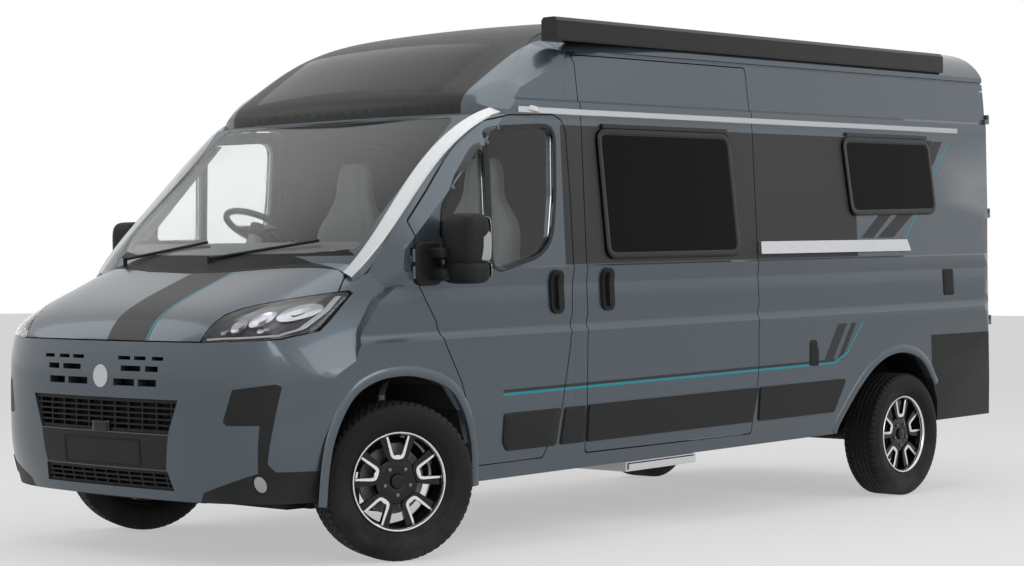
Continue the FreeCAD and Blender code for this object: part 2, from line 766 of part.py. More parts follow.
def cut_sliding_door(skin):
    """Make the sliding door, which stays closed, and return the skin without it."""
    window = side_prism(LIVING_WINDOW, 0.0, size("window_radius"))
    leaf = skin.common(side_prism(SLIDING_DOOR, -gap, 20.0)).cut(window)
    skin_node("sliding_door", leaf.multiFuse([door_roller(pillar + 300.0), door_roller(door_back - 300.0)]))
    return skin.cut(side_prism(SLIDING_DOOR, 0.0, 20.0))


def cut_windows(skin):
    """Make the living space's acrylic windows, which stand proud, and return the skin without their holes."""
    radius = size("window_radius")
    layer = side_layer(-size("window_proud"), size("window_proud"))
    lids = [layer.common(side_prism(o, -fit, radius)) for o in (LIVING_WINDOW, REAR_WINDOW)]
    skin_node(
        "side_windows", Part.makeCompound([placed(lid, sign) for side, sign in SIDES for lid in lids])
    )
    living = mirrored(side_prism(LIVING_WINDOW, 0.0, radius))
    return skin.cut(both_sides(side_prism(REAR_WINDOW, 0.0, radius))).cut(living)


def bonnet_prism(margin):
    """Return the bonnet's upright prism, above the bumper's top edge."""
    right = [(-x, y) for x, y in reversed(BONNET[1:-1])]
    return prism("z", BONNET + right, bonnet_edge - margin, FAR, margin)


def cut_nose(skin):
    """Make the headlamps and the bonnet, and return the skin without them and the screen's hole."""
    skin_node("headlamps", skin.common(both_sides(prism("y", LAMP, nose - 124.0, cowl_y + 213.0, -seam))))
    skin = skin.cut(both_sides(prism("y", LAMP, nose - 124.0, cowl_y + 213.0)))
    ahead = box(-FAR, FAR, -FAR, cowl_y + 203.0, 0, FAR)
    under = bonnet_solid(-0.5)
    skin_node("bonnet", skin.common(bonnet_prism(-gap)).common(ahead).common(under))
    skin = skin.cut(bonnet_prism(0.0).common(under))
    return skin.cut(prism("y", SCREEN, nose, screen_head_y + 242.0, 0.0, 40.0))


def screen_pane():
    """Return the windscreen's pane."""
    lean = math.atan2(screen_head - screen_foot, size("screen_run"))
    layer = screen_solid().cut(screen_solid(size("glass") / math.sin(lean)))
    return layer.common(prism("y", SCREEN, nose, screen_head_y + 242.0, -fit, 40.0))


def cut_cowl(skin):
    """Make the black strip between bonnet and glass, and return the skin without it."""
    line = [(cowl_y - 37.0, belt - 67.0), (cowl_y - 37.0, belt + 133.0), (cowl_y + 263.0, belt + 133.0)]
    line += [(cowl_y + 263.0, belt + 63.0), (cowl_y + 133.0, belt - 67.0)]
    zone = box(
        -860, 860, cowl_y - 37.0, cowl_y + 313.0, belt - 67.0, screen_foot + 26.0
    ).common(prism("x", line, -860, 860))
    behind = [
        (-860, cowl_y + 180.0), (-860, cowl_y + 363.0), (860, cowl_y + 363.0), (860, cowl_y + 180.0),
        (0, cowl_y + 133.0)
    ]
    zone = zone.cut(prism("z", behind, belt - 167.0, screen_foot - 6.0))
    skin_node("cowl", skin.common(zone))
    return skin.cut(zone)


def cut_roof_cap(skin):
    """Make the roof's front cap and the glass of screen and skylight, and return the skin without the cap."""
    zone = prism("x", CAP, -half + 120.0, half - 120.0)
    hole = prism("z", SKYLIGHT, cap_edge - 75.0, FAR, 0.0, 30.0)
    skin_node("roof_cap", skin.common(zone).cut(hole))
    layer = roof_solid().cut(roof_solid(10.0))
    skylight = layer.common(prism("z", SKYLIGHT, cap_edge - 75.0, FAR, -fit, 30.0))
    skin_node("front_glass", Part.makeCompound([solids(screen_pane()), solids(skylight)]))
    return skin.cut(zone)


SLOT_ROWS = [(607.0, 16.0, [(120.0, 200.0), (225.0, 300.0), (340.0, 410.0)])]
SLOT_ROWS += [
    (562.0, 24.0, [(140.0, 270.0), (300.0, 380.0)]), (502.0, 30.0, [(90.0, 230.0), (255.0, 370.0)])
]


def slot_rows():
    """Return the cutters of the three rows of slots beside the badge place."""
    cutters = []
    for above, height, spans in SLOT_ROWS:
        low = sill + above - height / 2
        for start, end in spans:
            cutters.append(both_sides(box(start, end, nose - 124.0, nose + 176.0, low, low + height)))
    return Part.makeCompound(cutters)


def cut_bumper(skin):
    """Make the bumper with its openings and its black pieces, and return the skin without them."""
    zone = prism(
        "x", [(-FAR, sill - 108.0), (-FAR, sill + 692.0)] + WING_SEAM + [(nose + 576.0, sill - 108.0)],
        -FAR, FAR
    )
    bumper = skin.common(zone)
    corners = both_sides(prism("y", CORNER, nose - 124.0, nose + 676.0))
    plate = bumper.common(prism("y", PLATE, nose - 124.0, nose + 276.0, -seam))
    skin_node("bumper_trim", Part.makeCompound([solids(bumper.common(corners)), solids(plate)]))
    for outline in (GRILLE, PLATE, INTAKE):
        bumper = bumper.cut(prism("y", outline, nose - 124.0, nose + 276.0))
    skin_node("front_bumper", bumper.cut(corners).cut(slot_rows()))
    return skin.cut(zone)


def grille_bars(outline, rows, columns):
    """Return one opening's bars across and down, and the frame round them."""
    zone = prism("y", outline, nose - 124.0, nose + 276.0, -fit)
    low = min(z for x, z in outline)
    high = max(z for x, z in outline)
    reach = max(x for x, z in outline)
    bars = [zone.cut(prism("y", outline, nose - 224.0, nose + 376.0, -12.0))]
    for i in range(rows):
        z = low + (high - low) * (i + 0.5) / rows
        bars.append(box(-reach, reach, nose - 24.0, nose + 76.0, z - 4, z + 4).common(zone))
    for i in range(columns):
        x = -reach + 2 * reach * (i + 0.5) / columns
        bars.append(box(x - 4, x + 4, nose - 24.0, nose + 76.0, low, high).common(zone))
    return bars[0].multiFuse(bars[1:])


def build_grille():
    """Make the black grilles of the upper opening and the intake."""
    lattice = grille_bars(GRILLE, 6, 11).fuse(grille_bars(INTAKE, 4, 11))
    skin_node("front_grille", lattice.common(nose_solid(8.0).cut(nose_solid(34.0))))


def cut_tail_doors(skin):
    """Make the two tail doors with their panes, and return the skin without them."""
    foot = sill + size("tail_door_foot")
    top = ledge + 205.0
    edge = size("tail_door_half")
    a = size("tail_window_start")
    b = size("tail_window_end")
    window = prism(
        "y", [(a, belt + 153.0), (b, belt + 153.0), (b, band + 10.0), (a, band + 10.0)], tail - 200,
        tail + 50, 0.0, 50.0
    )
    lid = prism(
        "y", [(a, belt + 153.0), (b, belt + 153.0), (b, band + 10.0), (a, band + 10.0)], tail - 200,
        tail + 50, -fit, 50.0
    )
    layer = rear_round().cut(rear_round(-12.0))
    leaf = box(gap / 2, edge - gap, tail - 74.0, tail + 50, foot + gap, top - gap)
    for side, sign in SIDES:
        whole = skin.common(placed(leaf, sign)).cut(placed(window, sign))
        skin_node(f"rear_door_{side}", whole.multiFuse([placed(k, sign) for k in TAIL_MOVING]))
        skin_node(f"rear_glass_{side}", placed(layer.common(lid), sign))
    return skin.cut(box(-edge, edge, tail - 80.0, tail + 50, foot, top))


def cut_rear_trim(skin):
    """Make the rear bumper and the lamps, and return the skin without them."""
    corner = both_sides(prism("x", REAR_TRIM, 600.0, 1200.0))
    step = box(-600, 600, tail - 200, tail + 50, sill - 58.0, sill + size("tail_door_foot"))
    zone = corner.fuse(step)
    skin_node("rear_bumper", skin.common(zone))
    skin = skin.cut(zone)
    lamps = both_sides(
        box(size("tail_door_half"), half + 75.0, tail - 160, tail + 50, swage - 32.0, belt + 213.0)
    )
    skin_node("rear_lamps", skin.common(lamps))
    return skin.cut(lamps)


def split_rest(skin):
    """Split what is left into roof, side panels, wings and cab frame."""
    edge = size("tail_door_half")
    header = box(-edge, edge, tail - 80.0, tail + 50, ledge + 205.0, groove + 1.0)
    above = box(-FAR, FAR, -FAR, FAR, groove, FAR).fuse(header)
    skin_node("roof", skin.common(above))
    skin = skin.cut(above)
    left = box(0, FAR, pillar + seam, FAR, 0, FAR)
    for side, sign in SIDES:
        panel = skin.common(placed(left, sign))
        skin_node(f"side_panel_{side}", panel.multiFuse([placed(k, sign) for k in TAIL_FIXED]))
    cab = skin.common(box(-FAR, FAR, -FAR, pillar, 0, FAR))
    wings = both_sides(prism("x", WING, 300.0, 1200.0))
    skin_node("front_wings", cab.common(wings))
    frame = cab.cut(wings)
    skin_node("cab_frame", frame.multiFuse(DOOR_FIXED + [mirrored(k) for k in DOOR_FIXED]))


outer, skin = build_body()
skin = cut_front_doors(skin)
skin = cut_sliding_door(skin)
skin = cut_windows(skin)
skin = cut_nose(skin)
skin = cut_cowl(skin)
skin = cut_roof_cap(skin)
skin = cut_bumper(skin)
build_grille()
skin = cut_tail_doors(skin)
skin = cut_rear_trim(skin)
split_rest(skin)


def wheel_house(arch, inner):
    """Return the left liner over a wheel: a shell that follows the arch, closed on its inboard side."""
    liner = size("liner")
    reach = half - size("wall")
    whole = prism("x", arch, inner, reach, liner + 1.0)
    room = prism("x", arch, inner + liner, reach + 50.0, 1.0)
    return whole.cut(room).cut(box(0, 1200, -FAR, FAR, 0, sill + 12.0))


def build_wheel_houses():
    """Make the four liners, open where the lower arms and the rear axle pass."""
    room = inner_hull(fit).common(box(-FAR, FAR, -FAR, tail - 75.0, 0, FAR))
    ahead = wheel_house(front_arch, size("front_house_half")).common(room)
    ahead = ahead.cut(box(500, 700, front - 90, front + 90, 0, hub_height + 110))
    ahead = ahead.cut(prism("x", DOOR, half - 110.0, 1200.0, size("running"), 30.0))
    behind = wheel_house(rear_arch, size("rear_house_half")).common(room)
    behind = behind.cut(box(700, 800, rear_hub_y - 70, rear_hub_y + 70, 0, rear_hub_z + 75))
    skin_node(
        "wheel_houses",
        Part.makeCompound([placed(s, sign) for side, sign in SIDES for s in (ahead, behind)])
    )


build_wheel_houses()

# sketched bodies


def origin_feature(body, role):
    """Return one of a body's own origin planes or axes."""
    return [f for f in body.Origin.OriginFeatures if f.Role == role][0]


def sketch(body, name, plane, points, offset="0"):
    """Add a closed sketch whose corners are held at formulas from the origin."""
    flat = body.newObject("Sketcher::SketchObject", name)
    flat.AttachmentSupport = [(origin_feature(body, plane), "")]
    flat.MapMode = "FlatFace"
    flat.setExpression("AttachmentOffset.Base.z", formula(offset))
    corners = [Vector(10.0 * math.cos(i), 10.0 * math.sin(i), 0) for i in range(len(points))]
    for start, end in zip(corners, corners[1:] + corners[:1]):
        flat.addGeometry(Part.LineSegment(start, end))
    for i in range(len(points)):
        flat.addConstraint(Sketcher.Constraint("Coincident", i, 2, (i + 1) % len(points), 1))
    for i, pair in enumerate(points):
        for kind, text in zip(("DistanceX", "DistanceY"), pair):
            number = flat.addConstraint(Sketcher.Constraint(kind, -1, 1, i, 1, 1.0))
            flat.setExpression(f"Constraints[{number}]", formula(text))
    return flat


def padded(body, name, flat, length):
    """Pad a sketch by a formula."""
    pad = body.newObject("PartDesign::Pad", name)
    pad.Profile = flat
    pad.setExpression("Length", formula(length))
    return pad


def turned(body, name, flat):
    """Turn a sketch all round the body's X axis."""
    round_piece = body.newObject("PartDesign::Revolution", name)
    round_piece.Profile = flat
    round_piece.ReferenceAxis = (origin_feature(body, "X_Axis"), [""])
    round_piece.Angle = 360
    return round_piece


def rounded(body, name, base, radius, wanted):
    """Fillet the edges of a feature that a test picks."""
    doc.recompute()
    edges = [f"Edge{i}" for i, edge in enumerate(base.Shape.Edges, start=1) if wanted(edge)]
    fillet = body.newObject("PartDesign::Fillet", name)
    fillet.Base = (base, edges)
    fillet.setExpression("Radius", formula(radius))
    return fillet


def both_ways(points):
    """Mirror a run of (x, radius) formulas to close an outline."""
    return points + [(f"-({x})", r) for x, r in reversed(points)]


# wheels


def on_wheel(name, piece, sign, is_front):
    """Put a piece drawn about a wheel's centre in its place, with the front pair steered."""
    track = "front_track" if is_front else "rear_track"
    reach = f"{sign} * ({track} / 2)"
    facing = "0" if sign > 0 else "180"
    piece.Placement = Placement(ORIGIN, Rotation(AXIS_Z, 1.0))
    if is_front:
        pin = f"{sign} * (front_track / 2 - kingpin_inset)"
        arm = f"({sign} * kingpin_inset)"
        turn = "(rest_steer * 1 deg)"
        bind(piece, x=f"{pin} + cos{turn} * {arm}", y=f"front_axle + sin{turn} * {arm}", z="tyre_radius")
        piece.setExpression("Placement.Rotation.Angle", formula(f"rest_steer + {facing}"))
    else:
        bind(piece, x=reach, y=REAR_AXLE, z="tyre_radius")
        piece.setExpression("Placement.Rotation.Angle", facing)
    return node(name, piece)


def tyre(name):
    """Return a tyre with rounded shoulders, its beads seated on the rim."""
    body = doc.addObject("PartDesign::Body", f"{name}_body")
    seat = "rim_radius - flange_height + fit"
    bead = "rim_width / 2 - flange_width - fit"
    wall = "tyre_width / 2"
    run = [
        (f"{bead} - 22", seat), (bead, seat), (bead, "rim_radius + 3"), (f"{wall} - 12", "rim_radius + 22")
    ]
    run += [(f"{wall} - 2", "rim_radius + 50"), (wall, "rim_radius + 75"), (f"{wall} - 5", "tyre_radius")]
    tread = turned(body, f"{name}_round", sketch(body, f"{name}_section", "XZ_Plane", both_ways(run)))
    radius = size("tyre_radius")
    body.Tip = rounded(body, f"{name}_shoulders", tread, "tyre_shoulder", lambda e: on_radius(e, radius))
    return body


def on_radius(edge, radius):
    """Tell whether an edge is a circle of a radius."""
    return isinstance(edge.Curve, Part.Circle) and abs(edge.Curve.Radius - radius) < 0.01


def spokes(body, name):
    """Add the five spokes, each with a sunk middle between two ridges that meet at the hub."""
    face = "rim_width / 2 - 44"
    root = "hub_radius - 14"
    tip = "rim_radius - flange_height - 16"
    plan = [("-spoke_foot_half", root), ("spoke_foot_half", root), ("spoke_tip_half", tip)]
    plan += [
        ("spoke_tip_half / 2", f"{tip} + 9"), ("-spoke_tip_half / 2", f"{tip} + 9"),
        ("-spoke_tip_half", tip)
    ]
    flat = sketch(body, f"{name}_spoke_plan", "YZ_Plane", plan, face)
    spoke = padded(body, f"{name}_spoke", flat, "spoke_thickness")
    inner = [
        ("-(spoke_foot_half - spoke_ridge)", "hub_radius + spoke_ridge"),
        ("spoke_foot_half - spoke_ridge", "hub_radius + spoke_ridge")
    ]
    inner += [
        ("spoke_tip_half - spoke_ridge", f"{tip} + 8"), ("-(spoke_tip_half - spoke_ridge)", f"{tip} + 8")
    ]
    hollow = sketch(
        body, f"{name}_hollow_plan", "YZ_Plane", inner, f"{face} + spoke_thickness - spoke_recess"
    )
    pocket = body.newObject("PartDesign::Pocket", f"{name}_hollow")
    pocket.Profile = hollow
    pocket.Reversed = True
    pocket.setExpression("Length", formula("spoke_recess + 10"))
    pattern = body.newObject("PartDesign::PolarPattern", f"{name}_spokes")
    pattern.Originals = [spoke, pocket]
    pattern.Axis = (origin_feature(body, "X_Axis"), [""])
    pattern.Angle = 360
    pattern.Occurrences = 5
    return pattern


def rim(name):
    """Return the rim with five spokes."""
    body = doc.addObject("PartDesign::Body", f"{name}_body")
    edge = "rim_width / 2"
    seat = "rim_radius - flange_height"
    shelf = f"{edge} - flange_width"
    outside = [(edge, "rim_radius"), (shelf, "rim_radius"), (shelf, seat), (f"{edge} - 40", f"{seat} - 2")]
    outside += [(f"{edge} - 52", f"{seat} - 18")]
    inside = [(f"{edge} - 56", f"{seat} - 26"), (f"{edge} - 44", f"{seat} - 10"), (edge, f"{seat} - 8")]
    ring = outside + [(f"-({x})", r) for x, r in reversed(outside)]
    ring += [(f"-({x})", r) for x, r in reversed(inside)] + inside
    turned(body, f"{name}_barrel", sketch(body, f"{name}_section", "XZ_Plane", ring))
    body.Tip = spokes(body, name)
    return body


def wheel_middle(name):
    """Return the hub, its cap and the brake disc, on the wheel's axle."""
    hub = bar(f"{name}_hub", "hub_radius", "spoke_thickness + 14", ("rim_width / 2 - 58", "0", "0"), AXIS_X)
    cap = bar(f"{name}_cap", "hub_radius / 2", "8", ("rim_width / 2 - 19", "0", "0"), AXIS_X)
    disc = bar(f"{name}_disc", "disc_radius", "disc_width", ("-40", "0", "0"), AXIS_X)
    stub = bar(f"{name}_stub", "hub_radius - 4", "rim_width / 2 - 57 + 40", ("-40", "0", "0"), AXIS_X)
    return [hub, cap, disc, stub]


WHEELS = (
    ("front_left", 1, True), ("front_right", -1, True), ("rear_left", 1, False), ("rear_right", -1, False)
)
for place, sign, is_front in WHEELS:
    on_wheel(f"tyre_{place}", tyre(f"tyre_{place}"), sign, is_front)
    whole = joined(f"rim_{place}_all", [rim(f"rim_{place}")] + wheel_middle(f"rim_{place}"))
    on_wheel(f"rim_{place}", whole, sign, is_front)


def caliper(name):
    """Return a brake caliper that straddles the disc without touching it."""
    jaw = block(
        name, ("-40 - running - 14", "-40 + disc_width + running + 14"), ("-45", "45"), ("96", "163")
    )
    room = block(
        f"{name}_room", ("-40 - running", "-40 + disc_width + running"), ("-70", "70"),
        ("90", "disc_radius + running")
    )
    return less(f"{name}_jaws", jaw, room)


def knuckle(name):
    """Return a steering knuckle with its strut and caliper, drawn about the wheel's centre."""
    pin = "-kingpin_inset"
    carrier = bar(f"{name}_carrier", "45", "110 - fit", ("-150", "0", "0"), AXIS_X)
    upright = block(f"{name}_upright", ("-175", "-140"), ("-40", "40"), ("-60", "190"))
    yoke = block(f"{name}_yoke", ("-145", "-40 - running - 10"), ("-30", "30"), ("140", "163"))
    lug = block(f"{name}_lug", (f"{pin} - 22", f"{pin} + 22"), ("-22", "22"), ("-112 + fit", "-35"))
    strut = bar(f"{name}_strut", "26", "185", ("-152", "0", "185"))
    lean = doc.addObject("Part::Cylinder", f"{name}_damper")
    lean.Placement = Placement(ORIGIN, Rotation(AXIS_Z, Vector(87, 0, 95)))
    bind(lean, Radius="18", Height="103", x="-152", y="0", z="365")
    return joined(f"{name}_all", [carrier, upright, yoke, lug, strut, lean, caliper(f"{name}_caliper")])


for side, sign in SIDES:
    on_wheel(f"knuckle_{side}", knuckle(f"knuckle_{side}"), sign, True)

# underbody


def front_subframe():
    """Make the front cradle under the rails with its two lower arms."""
    reach = "(front_track / 2 - kingpin_inset)"
    pieces = [
        block(
            "cradle", ("-rail_half - 10", "rail_half + 10"), ("front_axle - 250", "front_axle + 200"),
            ("tyre_radius - 145", "tyre_radius - 50")
        )
    ]
    for tag, sign in SIDES:
        legs = ("rail_half + 5", "rail_half + 55") if sign > 0 else ("-rail_half - 55", "-rail_half - 5")
        pieces.append(
            block(
                f"cradle_leg_{tag}", legs, ("front_axle - 150", "front_axle + 100"),
                ("tyre_radius - 145", f"{RAIL_LOW} - 150 * sin(rake * 1 deg) - fit")
            )
        )
        arm = ("rail_half", f"{reach} + 2") if sign > 0 else (f"-{reach} - 2", "-rail_half")
        pieces.append(
            block(
                f"lower_arm_{tag}", arm, ("front_axle - 25", "front_axle + 25"),
                ("tyre_radius - 145", "tyre_radius - 125")
            )
        )
        pieces.append(
            bar(f"ball_joint_{tag}", "14", "14", (f"{sign} * {reach}", "front_axle", "tyre_radius - 126"))
        )
    node("front_subframe", joined("front_subframe_all", pieces))


def rear_axle():
    """Make the rear beam between its two hub stubs, with the leaf springs under the rails."""
    reach = "(rear_track / 2)"
    middle = "(rail_half + rail_width / 2)"
    pieces = [
        bar("beam", "50", f"2 * {reach} - 280", (f"-{reach} + 140", REAR_AXLE, "tyre_radius"), AXIS_X)
    ]
    for tag, sign in SIDES:
        start = f"{reach} - 141" if sign > 0 else f"-{reach} + 40 + fit"
        pieces.append(bar(f"stub_{tag}", "32", "101 - fit", (start, REAR_AXLE, "tyre_radius"), AXIS_X))
        span = (f"{sign} * {middle} - 32", f"{sign} * {middle} + 32")
        pieces.append(
            block(
                f"leaf_{tag}", span, (f"{REAR_AXLE} - 620", f"{REAR_AXLE} + 620"),
                ("tyre_radius + 42", "tyre_radius + 62")
            )
        )
    node("rear_axle_beam", joined("rear_axle_all", pieces))


front_subframe()
rear_axle()


def floor_pan():
    """Make the floor plate with its rails, cross members, spring hangers and towbar plates."""
    body = doc.addObject("PartDesign::Body", "floor_plate")
    wide = "(body_half - flank_tuck - wall - 20)"
    ahead = "(front_house_half - 1)"
    waist = "(rear_house_half - 1)"
    back = f"({TAIL} - 140)"
    left = [
        (ahead, "front_axle - 50"), (ahead, "front_axle + 411"), (wide, "front_axle + 411"),
        (wide, f"{REAR_AXLE} - 744")
    ]
    left += [
        (waist, f"{REAR_AXLE} - 744"), (waist, f"{REAR_AXLE} + 396"), (wide, f"{REAR_AXLE} + 396"),
        (wide, back)
    ]
    plan = left + [(f"-{x}", y) for x, y in reversed(left)]
    padded(body, "floor_pad", sketch(body, "floor_plan", "XY_Plane", plan, FLOOR_LOW), "floor_wall")
    pieces = [body]
    for tag, sign in SIDES:
        x = ("rail_half", "rail_half + rail_width") if sign > 0 else (
            "-rail_half - rail_width", "-rail_half"
        )
        pieces.append(block(f"rail_{tag}", x, ("front_axle - 549", back), (RAIL_LOW, FLOOR_LOW)))
        for end, place in (("ahead", -600), ("behind", 600)):
            y = f"({REAR_AXLE} + {place})"
            lean = f"sin(rake * 1 deg) * (wheelbase + {place} - 20)"
            foot = f"(tyre_radius + 62 + fit - {lean})"
            pieces.append(
                block(f"hanger_{tag}_{end}", x, (f"{y} - 20", f"{y} + 20"), (foot, f"{RAIL_LOW} + 1"))
            )
    for number, y in enumerate(
        (
            "front_axle + 551", f"{PILLAR} + 358", f"{DOOR_BACK} - 230", f"{REAR_AXLE} - 834",
            f"{REAR_AXLE} + 466"
        )
    ):
        pieces.append(
            block(
                f"cross_{number}", ("-rail_half", "rail_half"), (y, f"{y} + cross_width"),
                (CROSS_LOW, FLOOR_LOW)
            )
        )
    pieces.append(
        block(
            "towbar_beam", ("-rail_half - rail_width", "rail_half + rail_width"),
            (back, f"{back} + towbar_plate"), (RAIL_LOW, "floor_top")
        )
    )
    holes = []
    for tag, sign in SIDES:
        ear = ("rail_half - towbar_ear", "rail_half + 1") if sign > 0 else (
            "-rail_half - 1", "towbar_ear - rail_half"
        )
        pieces.append(
            block(
                f"towbar_ear_{tag}", ear, (f"{back} - towbar_reach", f"{back} + 1"),
                (RAIL_LOW, f"{RAIL_LOW} + towbar_plate")
            )
        )
        for number, k in enumerate((-1, 1)):
            x = f"{sign} * (rail_half - towbar_ear / 2)"
            y = f"{back} - towbar_reach / 2 + {k} * towbar_spacing / 2"
            holes.append(
                bar(
                    f"towbar_bolt_{tag}_{number}", "towbar_bolt_radius", "towbar_plate + 20",
                    (x, y, f"{RAIL_LOW} - 10")
                )
            )
    on_body("floor_pan", less("floor_all", joined("floor_solid", pieces), gathered("towbar_holes", holes)))


floor_pan()


def underbody_units():
    """Make the engine, the tank and the exhaust as plain blocks in their real places."""
    engine = block(
        "engine", ("-rail_half + 20", "rail_half - 20"), ("front_axle - 640", "front_axle - 210"),
        (f"{RAIL_LOW} + 30", "980")
    )
    mounts = block(
        "engine_mounts", ("-rail_half + fit", "rail_half - fit"), ("front_axle - 480", "front_axle - 400"),
        (f"{RAIL_LOW} + 40", f"{RAIL_LOW} + 100")
    )
    on_body("engine_block", joined("engine_all", [engine, mounts]))
    tank = block(
        "tank", ("-rail_half + 50", "rail_half - 70"), ("front_axle + 581", f"{PILLAR} + 398"),
        ("sill_height - 8", f"{CROSS_LOW} - fit")
    )
    on_body("fuel_tank", gathered("tank_all", [tank]))
    silencer = block(
        "silencer", ("120", "320"), (f"{DOOR_BACK} - 210", f"{REAR_AXLE} - 794"),
        ("sill_height - 18", f"{CROSS_LOW} - fit")
    )
    on_body("exhaust", gathered("silencer_all", [silencer]))


underbody_units()

# cab and living space


def column_tool(name, radius, length, start):
    """Return a bar along the steering column's line, below the wheel."""
    piece = doc.addObject("Part::Cylinder", name)
    piece.Placement = Placement(Vector(-430, 0, 0), Rotation(AXIS_X, -size("steering_tilt")))
    down = f"({start})"
    bind(piece, Radius=radius, Height=length)
    bind(piece, x="-seat_half + 20", y=f"front_axle + 411 + sin(steering_tilt * 1 deg) * {down}")
    bind(piece, z=f"{BELT} + 203 + cos(steering_tilt * 1 deg) * {down}")
    piece.setExpression("Placement.Rotation.Angle", formula("-steering_tilt"))
    return piece


def dashboard():
    """Make the dashboard with the steering column that comes out of it."""
    half_width = "(body_half - wall - 140)"
    shelf = block(
        "dash_shelf", (f"-{half_width}", half_width), ("front_axle - 50", "front_axle + 101"),
        (f"{BELT} - 267", f"{BELT} + 133")
    )
    lower = block(
        "dash_lower", (f"-{half_width}", half_width), ("front_axle + 101", "front_axle + 231"),
        (f"{BELT} - 267", f"{BELT} + 33")
    )
    column = column_tool("steering_column", "38", "330", "-380 - fit")
    console = block(
        "dash_console", ("-150", "150"), ("front_axle - 20", "front_axle + 181"),
        ("floor_top + fit", f"{BELT} - 266")
    )
    on_body("dashboard", joined("dashboard_all", [shelf, lower, console, column]))


def steering_wheel():
    """Make the steering wheel, drawn about its hub and tilted on its column."""
    ring = doc.addObject("Part::Torus", "grip")
    bind(ring, Radius1="steering_wheel_radius - steering_wheel_grip", Radius2="steering_wheel_grip")
    hub = bar("boss", "50", "60", ("0", "0", "-50"))
    reach = "(steering_wheel_radius - steering_wheel_grip)"
    across = block("spokes_across", (f"-{reach}", reach), ("-18", "18"), ("-10", "8"))
    down = block("spoke_down", ("-18", "18"), ("0", reach), ("-10", "8"))
    whole = joined("steering_wheel_all", [ring, hub, across, down])
    on_body(
        "steering_wheel", whole, ("-seat_half + 20", "front_axle + 411", f"{BELT} + 203"), "steering_tilt"
    )


def seats():
    """Make the two cab seats: hard plinths, and soft cushions, backs and headrests."""
    plinths = []
    soft = []
    for tag, sign in SIDES:
        x = f"{sign} * seat_half"
        wide = (f"{x} - seat_width / 2", f"{x} + seat_width / 2")
        narrow = (f"{x} - seat_width / 2 + 50", f"{x} + seat_width / 2 - 50")
        top = "(floor_top + plinth_height + 2 * fit + cushion_height)"
        plinths.append(
            block(
                f"plinth_{tag}", narrow, (f"{PILLAR} - 492", f"{PILLAR} - 42"),
                ("floor_top + fit", "floor_top + fit + plinth_height")
            )
        )
        seat = block(
            f"cushion_{tag}", wide, (f"{PILLAR} - 542", f"{PILLAR} + 8"), (f"{top} - cushion_height", top)
        )
        back = block(
            f"back_{tag}", wide, (f"{PILLAR} - 92", f"{PILLAR} + 58"),
            (f"{top} - 20", f"{top} + back_height")
        )
        rest = block(
            f"headrest_{tag}", (f"{x} - 130", f"{x} + 130"), (f"{PILLAR} - 82", f"{PILLAR} + 28"),
            (f"{top} + back_height - 1", f"{top} + back_height + headrest_height")
        )
        soft.append(joined(f"seat_{tag}", [seat, back, rest]))
    on_body("seat_plinths", gathered("plinths", plinths))
    on_body("cab_seats", gathered("seats", soft))


def furniture():
    """Make the kitchen unit and the bed base."""
    kitchen = block(
        "kitchen", ("-body_half + wall + 60", "-380"), (f"{PILLAR} + 258", f"{DOOR_BACK} + 70"),
        ("floor_top + fit", f"{BELT} - 87")
    )
    bed = block(
        "bed", ("-rear_house_half + 10", "rear_house_half - 10"), (f"{REAR_AXLE} - 684", f"{TAIL} - 249"),
        ("floor_top + fit", f"{BELT} - 217")
    )
    on_body("furniture", gathered("furniture_all", [kitchen, bed]))


dashboard()
steering_wheel()
seats()
furniture()

# outside fittings


def side_fitting(outline, proud, radius=0.0, near=None):
    """Return a flat fitting that lies on the left side's slope, proud of the skin."""
    return side_layer(-proud, -(fit if near is None else near)).common(side_prism(outline, 0.0, radius))


def rub_strips():
    """Make the rub strips along the flank, one to a panel."""
    low = sill + 122.0
    high = sill + 298.0
    middle = [
        (pillar + 98.0, low), (door_back - 50.0, low), (door_back - 14.0, high), (pillar + 98.0, high)
    ]
    behind = [(door_back + 8.0, low), (rear - 745.0, low), (rear - 640.0, high), (door_back + 8.0, high)]
    parts = [side_fitting(o, size("strip_thickness"), 12.0) for o in (middle, behind)]
    skin_node("rub_strips", Part.makeCompound(parts + [mirrored(part) for part in parts]))


def slide_rail():
    """Make the sliding door's rail on the waist band."""
    outline = [
        (door_back + 2.0, belt + 38.0), (rear + 6.0, belt + 35.0), (rear - 30.0, belt + 100.0),
        (door_back + 2.0, belt + 103.0)
    ]
    skin_node("slide_rail", side_fitting(outline, size("rail_proud"), 4.0))


def handle(y, z, tall=205.0, wide=92.0):
    """Return a door handle: an upright plate with round ends and a bar over its sunk middle."""
    outline = [
        (y - wide / 2, z - tall / 2), (y + wide / 2, z - tall / 2), (y + wide / 2, z + tall / 2),
        (y - wide / 2, z + tall / 2)
    ]
    plate = side_fitting(outline, 12.0, 40.0)
    grip = [
        (y - 14.0, z - tall / 2 + 22.0), (y + 14.0, z - tall / 2 + 22.0), (y + 14.0, z + tall / 2 - 22.0),
        (y - 14.0, z + tall / 2 - 22.0)
    ]
    return plate.fuse(side_fitting(grip, 30.0, 12.0, 10.0))


def door_handles():
    """Make the handles of the cab doors and of the sliding door."""
    cab = handle(pillar - 134.0, belt - 116.0)
    for side, sign in SIDES:
        skin_node(f"door_handle_{side}", placed(cab, sign))
    skin_node("side_handle", handle(pillar + 240.0, belt - 113.0))


rub_strips()
slide_rail()
door_handles()


